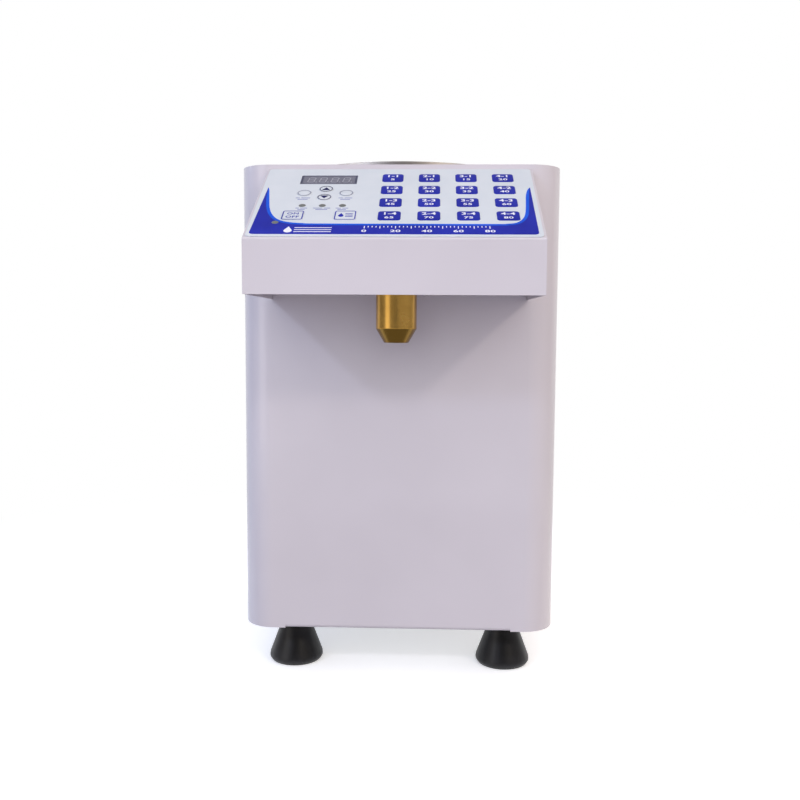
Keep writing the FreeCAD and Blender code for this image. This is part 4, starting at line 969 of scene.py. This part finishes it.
def makeRoundKeys():
    for node, (across, up) in roundKey["places"].items():
        mesh = ringStack(node + "_cap", capRings(roundKey, circleFor(roundKey)), across, up)
        addPiece(node + "_cap", mesh, whiteFilm, node, "overlay_white", node)
        ink = arrowInk if node in ("key_up", "key_down") else greyInk
        printedFigure(node + "_ring", [circleOutline(roundKey["ringOuter"], across, up),
                                       circleOutline(roundKey["ringInner"], across, up)],
                      roundKey["top"], body=node, material=ink)
    for node, way in (("key_up", 1), ("key_down", -1)):
        across, up = roundKey["places"][node]
        half = roundKey["arrowWidth"] / 2
        rise = roundKey["arrowHeight"] / 2 * way
        printedFigure(node + "_arrow", [[(across - half, up - rise), (across + half, up - rise),
                                         (across, up + rise)]], roundKey["arrowTop"], body=node,
                      material=arrowInk)


def overlayWindows():
    # one hole in the film for each cap, lamp and the display, a hair wider than what comes through
    spare = overlay["window"]
    loops = []
    for column in range(4):
        for row in range(4):
            across = doseKey["firstAcross"] + column * doseKey["pitchAcross"]
            up = doseKey["firstUp"] + row * doseKey["pitchUp"]
            loops.append(roundedOutline(doseKey["width"] + 2 * spare, doseKey["length"] + 2 * spare,
                                        doseKey["corner"] + spare, across, up))
    for across in modeKey["across"]:
        loops.append(roundedOutline(modeKey["width"] + 2 * spare, modeKey["length"] + 2 * spare,
                                    modeKey["corner"] + spare, across, modeKey["up"]))
    loops += [circleOutline(roundKey["radius"] + spare, *place) for place in roundKey["places"].values()]
    loops += [circleOutline(lamps["radius"] + spare, across, up, 28) for across, up in lamps["places"]]
    loops.append(roundedOutline(display["width"] + 2 * spare, display["length"] + 2 * spare, 0.5,
                                display["across"], display["up"]))
    return loops


def makeOverlayFilm():
    edge = roundedOutline(overlay["width"], overlay["length"], overlay["corner"], 0, overlay["up"])
    printedFigure("overlay_film", [edge] + overlayWindows(), 0.0, whiteFilm, thickness=panel["film"],
                  replaced=("keypad_overlay",))


labelDashes = {
    # thin rules of ink under the round keys and lamps: across, up, lengths of the dashes
    "rows": ((-66.7, 61.6, (3.0, 6.4)), (-66.7, 59.2, (7.2,)), (-36.5, 61.6, (3.4, 5.6)),
             (-36.5, 59.2, (7.0,)), (-65.7, 44.6, (2.4, 5.0)), (-51.6, 44.6, (6.6, 4.6)),
             (-37.5, 44.6, (3.8, 4.2)), (-65.7, 42.4, (5.2,)), (-51.6, 42.4, (8.4,)), (-37.5, 42.4, (6.0,))),
    "height": 0.85, "gap": 0.9,
}


def makeLabelDashes():
    loops = []
    for across, up, lengths in labelDashes["rows"]:
        start = across - (sum(lengths) + labelDashes["gap"] * (len(lengths) - 1)) / 2
        for length in lengths:
            loops.append(roundedOutline(length, labelDashes["height"], 0.35, start + length / 2, up, 3))
            start += length + labelDashes["gap"]
    printedFigure("label_dashes", loops, panel["film"] + overlay["printLift"], material=labelInk)


makeDoseKeys()
makeModeKeys()
makeRoundKeys()
print("keys made")

# lamps and display
lamps = {"radius": 2.5, "places": ((-65.7, 49.0), (-51.6, 49.0), (-37.5, 49.0), (-80.7, 22.0)),
         "top": 0.35, "clear": 0.02, "dome": 0.75}
display = {
    "across": -51.2, "up": 94.2, "width": 41.6, "length": 16.1, "top": 0.35, "frame": 1.7,
    "digits": 4, "pitch": 8.6, "digitWidth": 4.6, "digitHeight": 7.6, "stroke": 0.8, "slant": 0.14,
    "gap": 0.12, "dot": 0.55, "dotAcross": 1.35,
    # the bars' ends: top, middle or bottom, then left or right
    "bars": ("tl tr", "ml mr", "bl br", "tl ml", "tr mr", "ml bl", "mr br"),
}


def makeLamps():
    # four domes on one tree, each just clear of the lamp below it
    tree, given = newTree("lamp_lenses", {"radius": "Float", "dome": "Float", "facing": "Vector",
                                          "finish": "Material"})
    lens = domeMesh(tree, given["radius"], given["dome"])
    closeTree(tree, onPoints(tree, given["Geometry"], lens, given["facing"]), given["finish"])
    places = [onPanel(across, up, lamps["top"] + lamps["clear"]) for across, up in lamps["places"]]
    mesh = runTree("lamp_lenses", tree, places, {"radius": lamps["radius"] * mm, "dome": lamps["dome"] * mm,
                                                 "facing": tuple(panelTurn @ Vector((0, 0, 1))),
                                                 "finish": lampLens})
    smoothByAngle(mesh, 50)
    addPiece("lamp_lenses", mesh, lampLens, "cabinet", "lamp_grey")


switches = {
    "size": 6.0, "box": 3.1, "button": 1.68, "reach": 4.25, "sink": -6.99,
    "leadOut": 0.54, "leadApart": 0.38, "leadWidth": 0.07, "leadLength": 0.11,  # shares of the size
}


def makeSwitches():
    # the small switches soldered under the keys: box, button and four leads each
    tree, given = newTree("tact_switches", {
        "size": "Float", "boxHeight": "Float", "buttonRadius": "Float", "buttonHeight": "Float",
        "facing": "Vector", "finish": "Material"})
    size, half = given["size"], times(tree, given["boxHeight"], 0.5)
    parts = [boxMesh(tree, combine(tree, size, size, given["boxHeight"]),
                     combine(tree, 0, 0, half)),
             rodMesh(tree, 20, given["buttonRadius"], given["buttonHeight"],
                     combine(tree, 0, 0, times(tree, given["buttonHeight"], 0.5)))]
    for side in (-1, 1):
        for end in (-1, 1):
            place = combine(tree, times(tree, size, switches["leadOut"] * side),
                            times(tree, size, switches["leadApart"] * end), times(tree, half, 0.5))
            lead = combine(tree, times(tree, size, switches["leadWidth"]),
                           times(tree, size, switches["leadLength"]), half)
            parts.append(boxMesh(tree, lead, place))
    closeTree(tree, onPoints(tree, given["Geometry"], joined(tree, *parts), given["facing"]), given["finish"])
    keys = [(doseKey["firstAcross"] + column * doseKey["pitchAcross"],
             doseKey["firstUp"] + row * doseKey["pitchUp"]) for column in range(4) for row in range(4)]
    keys += list(roundKey["places"].values()) + [(across, modeKey["up"]) for across in modeKey["across"]]
    places = [onPanel(across, up, switches["sink"]) for across, up in keys]
    mesh = runTree("switch_boxes", tree, places, {
        "size": switches["size"] * mm, "boxHeight": switches["box"] * mm,
        "buttonRadius": switches["button"] * mm, "buttonHeight": switches["reach"] * mm,
        "facing": tuple(panelTurn @ Vector((0, 0, 1))), "finish": blackNylon})
    smoothByAngle(mesh, 40)
    addPiece("switch_boxes", mesh, blackNylon, "cabinet", slotOf["tact_switches"], "tact_switches")


def segmentOutline(start, end, stroke):
    # one bar of a numeral, pointed at both ends
    along = (Vector(end) - Vector(start)).normalized()
    side = Vector((-along.y, along.x)) * stroke / 2
    start = Vector(start) + along * display["gap"]
    end = Vector(end) - along * display["gap"]
    tip = along * stroke / 2
    points = [start, start + tip + side, end - tip + side, end, end - tip - side, start + tip - side]
    return [(point.x, point.y) for point in points]


def makeDisplay():
    top = display["top"]
    across, up = display["across"], display["up"]
    outer = roundedOutline(display["width"], display["length"], 0.6, across, up)
    inner = roundedOutline(display["width"] - 2 * display["frame"], display["length"] - 2 * display["frame"],
                           0.4, across, up)
    printedFigure("display_frame", [outer, inner], top, material=frameInk, slot="display_smoke")
    loops = []
    for digit in range(display["digits"]):
        centre = across + (digit - (display["digits"] - 1) / 2) * display["pitch"]
        half, tall = display["digitWidth"] / 2, display["digitHeight"] / 2
        corners = {"tl": (-half, tall), "tr": (half, tall), "ml": (-half, 0), "mr": (half, 0),
                   "bl": (-half, -tall), "br": (half, -tall)}
        spots = {name: (centre + x + y * display["slant"], up + y) for name, (x, y) in corners.items()}
        for bar in display["bars"]:
            start, end = bar.split()
            loops.append(segmentOutline(spots[start], spots[end], display["stroke"]))
        loops.append(circleOutline(display["dot"], centre + half + display["dotAcross"], up - tall, 12))
    printedFigure("display_numerals", loops, top, material=segmentFilm, slot="display_smoke")


makeLamps()
makeSwitches()
makeDisplay()
makeOverlayFilm()
makeLabelDashes()
print("lamps, switches, display and film made")

# camera fitted to the photograph: place in millimetres, angles in radians, focal length in pixels of 800
camera = {"place": (25.4, -751.7, 280.9), "yaw": 0.036, "pitch": 0.085, "roll": 0.006,
          "focal": 866.8, "frame": 800, "sensor": 36.0}


def addCamera():
    yaw, pitch, roll = camera["yaw"], camera["pitch"], camera["roll"]
    forward = Vector((-math.sin(yaw) * math.cos(pitch), math.cos(yaw) * math.cos(pitch), -math.sin(pitch)))
    level = Vector((math.cos(yaw), math.sin(yaw), 0))
    raised = Vector((-math.sin(yaw) * math.sin(pitch), math.cos(yaw) * math.sin(pitch), math.cos(pitch)))
    right = math.cos(roll) * level + math.sin(roll) * raised
    up = -math.sin(roll) * level + math.cos(roll) * raised
    data = bpy.data.cameras.new("camera")
    data.sensor_width = camera["sensor"]
    data.lens = camera["focal"] / camera["frame"] * camera["sensor"]
    data.clip_start = 0.01
    holder = bpy.data.objects.new("camera", data)
    turned = Matrix((right, up, -forward)).transposed().to_4x4()
    holder.matrix_world = Matrix.Translation(Vector(camera["place"]) * mm) @ turned
    bpy.context.scene.collection.objects.link(holder)
    bpy.context.scene.camera = holder


lights = {
    # two far lamps cross under the console and leave its V of shade, a soft one lifts the top,
    # and a strip that only gloss shows runs down the left corner
    "lampLeft": {"place": (-1.10, -1.45, 1.22), "aim": (0, -0.08, 0.25), "size": (0.16, 0.16),
                 "watts": 5.2, "colour": "#D2E0FF"},
    "lampRight": {"place": (1.10, -1.45, 1.22), "aim": (0, -0.08, 0.25), "size": (0.16, 0.16),
                  "watts": 5.2, "colour": "#FFF1E4"},
    "softFront": {"place": (0.0, -2.0, 0.7), "aim": (0, 0, 0.25), "size": (1.6, 1.6), "watts": 11.5,
                  "colour": "#FFFFFF", "glossy": False},
    "stripLeft": {"place": (-1.2, 0.0, 0.98), "aim": (-0.1, -0.07, 0.42), "size": (0.16, 0.8),
                  "watts": 3.0, "colour": "#E6ECFF", "diffuse": False},
}


def addLamp(name, sizes):
    data = bpy.data.lights.new(name, "AREA")
    data.shape = "RECTANGLE"
    data.size, data.size_y = sizes["size"]
    data.energy = sizes["watts"]
    data.color = linear(sizes["colour"])[:3]
    lamp = bpy.data.objects.new(name, data)
    lamp.location = sizes["place"]
    aim = Vector(sizes["aim"]) - Vector(sizes["place"])
    lamp.rotation_euler = aim.to_track_quat("-Z", "Y").to_euler()
    lamp.visible_diffuse = sizes.get("diffuse", True)
    lamp.visible_glossy = sizes.get("glossy", True)
    bpy.context.scene.collection.objects.link(lamp)


flags = {
    # cards that only reflections see: a dim room round the camera, a bright door left of it,
    # a grey table under the nozzle and a dim ceiling; turns are in degrees
    "roomFlag": {"place": (-0.08, -2.3, 1.0), "turn": (90, 0, 0), "size": (1.1, 2.6), "colour": "#221F1E"},
    "roomFlagRight": {"place": (1.62, -1.95, 1.0), "turn": (90, 0, 18), "size": (2.4, 2.6),
                      "colour": "#938D86"},
    "roomFlagFarRight": {"place": (2.7, -0.4, 1.0), "turn": (90, 0, 90), "size": (2.4, 2.6),
                         "colour": "#938D86"},
    "roomFlagLeft": {"place": (-1.3, -2.1, 1.0), "turn": (90, 0, -12), "size": (1.5, 2.6),
                     "colour": "#7E7874"},
    "doorLeft": {"place": (-1.02, -1.02, 0.34), "turn": (90, 0, -49), "size": (0.6, 0.8),
                 "colour": "#FFF8F0", "strength": 1.9},
    "roomFlagFarLeft": {"place": (-2.5, -0.6, 1.0), "turn": (90, 0, -90), "size": (2.4, 2.6),
                        "colour": "#7E7874"},
    "tableFlag": {"place": (0.0, -0.40, 0.002), "turn": (0, 0, 0), "size": (1.4, 0.62),
                  "colour": "#B4AEA8"},
    "ceilingFlag": {"place": (0.0, 1.1, 2.3), "turn": (0, 0, 0), "size": (2.2, 1.5), "colour": "#746D69"},
}


def addFlags():
    for name, sizes in flags.items():
        material = bpy.data.materials.new(name + "_cloth")
        material.use_nodes = True
        tree = material.node_tree
        tree.nodes.clear()
        glow = addNode(tree, "ShaderNodeEmission",
                       {"Color": linear(sizes["colour"]), "Strength": sizes.get("strength", 1.0)})
        output = tree.nodes.new("ShaderNodeOutputMaterial")
        tree.links.new(glow.outputs["Emission"], output.inputs["Surface"])
        width, height = (side / 2 for side in sizes["size"])
        mesh = bpy.data.meshes.new(name)
        corners = [(-width, -height, 0), (width, -height, 0), (width, height, 0), (-width, height, 0)]
        mesh.from_pydata(corners, [], [(0, 1, 2, 3)])
        mesh.materials.append(material)
        flag = bpy.data.objects.new(name, mesh)
        flag.location = sizes["place"]
        flag.rotation_euler = [math.radians(angle) for angle in sizes["turn"]]
        flag.visible_camera = False
        flag.visible_diffuse = False
        flag.visible_shadow = False
        flag.visible_transmission = False
        bpy.context.scene.collection.objects.link(flag)


def seenPlain(tree):
    # one for rays that should meet plain white: the camera's, and those off gloss or through glass
    path = addNode(tree, "ShaderNodeLightPath")
    first = addNode(tree, "ShaderNodeMath", {"operation": "MAXIMUM"},
                    {0: path.outputs["Is Camera Ray"], 1: path.outputs["Is Glossy Ray"]})
    return addNode(tree, "ShaderNodeMath", {"operation": "MAXIMUM"},
                   {0: first.outputs["Value"], 1: path.outputs["Is Transmission Ray"]}).outputs["Value"]


room = {"middleAt": 0.32, "fill": 0.88, "coolLeft": "#A6C4FF", "middle": "#F1F2F8", "warmRight": "#FFF0E6"}


def addWorld():
    world = bpy.data.worlds.new("studio")
    bpy.context.scene.world = world
    world.use_nodes = True
    tree = world.node_tree
    tree.nodes.clear()
    coords = addNode(tree, "ShaderNodeTexCoord")
    axes = addNode(tree, "ShaderNodeSeparateXYZ", {}, {"Vector": coords.outputs["Generated"]})
    side = addNode(tree, "ShaderNodeMapRange", {"From Min": -1.0, "From Max": 1.0},
                   {"Value": axes.outputs["X"]})
    hue = addNode(tree, "ShaderNodeValToRGB", {}, {"Fac": side.outputs["Result"]})
    hue.color_ramp.elements[0].color = linear(room["coolLeft"])
    hue.color_ramp.elements[1].color = linear(room["warmRight"])
    hue.color_ramp.elements.new(room["middleAt"]).color = linear(room["middle"])
    fill = addNode(tree, "ShaderNodeBackground", {"Strength": room["fill"]}, {"Color": hue.outputs["Color"]})
    plain = addNode(tree, "ShaderNodeBackground", {"Color": linear("#FFFFFF"), "Strength": 1.0})
    blend = addNode(tree, "ShaderNodeMixShader", {}, {"Fac": seenPlain(tree)})
    tree.links.new(fill.outputs["Background"], blend.inputs[1])
    tree.links.new(plain.outputs["Background"], blend.inputs[2])
    output = addNode(tree, "ShaderNodeOutputWorld")
    tree.links.new(blend.outputs["Shader"], output.inputs["Surface"])


paper = {"near": 0.32, "far": 0.75, "glow": 0.42, "bounce": "#A09EA6"}


def addFloor():
    # white paper to the eye, with the object's shadow near it; it throws back less light than it shows
    material = bpy.data.materials.new("studio_floor_paper")
    material.use_nodes = True
    tree = material.node_tree
    tree.nodes.clear()
    coords = addNode(tree, "ShaderNodeTexCoord")
    away = addNode(tree, "ShaderNodeVectorMath", {"operation": "LENGTH"},
                   {"Vector": coords.outputs["Object"]})
    fade = addNode(tree, "ShaderNodeMapRange", {"From Min": paper["near"], "From Max": paper["far"],
                                                "interpolation_type": "SMOOTHSTEP"},
                   {"Value": away.outputs["Value"]})
    sheet = addNode(tree, "ShaderNodeBsdfDiffuse", {"Color": linear("#FFFFFF")})
    glow = addNode(tree, "ShaderNodeEmission", {"Strength": paper["glow"]})
    lit = addNode(tree, "ShaderNodeAddShader")
    tree.links.new(sheet.outputs["BSDF"], lit.inputs[0])
    tree.links.new(glow.outputs["Emission"], lit.inputs[1])
    white = addNode(tree, "ShaderNodeEmission", {"Strength": 1.0})
    shown = addNode(tree, "ShaderNodeMixShader", {}, {"Fac": fade.outputs["Result"]})
    tree.links.new(lit.outputs["Shader"], shown.inputs[1])
    tree.links.new(white.outputs["Emission"], shown.inputs[2])
    bounce = addNode(tree, "ShaderNodeBsdfDiffuse", {"Color": linear(paper["bounce"])})
    blend = addNode(tree, "ShaderNodeMixShader", {}, {"Fac": seenPlain(tree)})
    tree.links.new(bounce.outputs["BSDF"], blend.inputs[1])
    tree.links.new(shown.outputs["Shader"], blend.inputs[2])
    output = tree.nodes.new("ShaderNodeOutputMaterial")
    tree.links.new(blend.outputs["Shader"], output.inputs["Surface"])
    mesh = bpy.data.meshes.new("floor")
    mesh.from_pydata([(-6, -6, 0), (6, -6, 0), (6, 6, 0), (-6, 6, 0)], [], [(0, 1, 2, 3)])
    mesh.materials.append(material)
    floor = bpy.data.objects.new("floor", mesh)
    floor.location.z = -0.0002
    bpy.context.scene.collection.objects.link(floor)


addCamera()
for name, sizes in lights.items():
    addLamp(name, sizes)
addFlags()
addWorld()
addFloor()
bpy.context.scene.view_settings.view_transform = "Standard"
print("camera, lights and floor set")
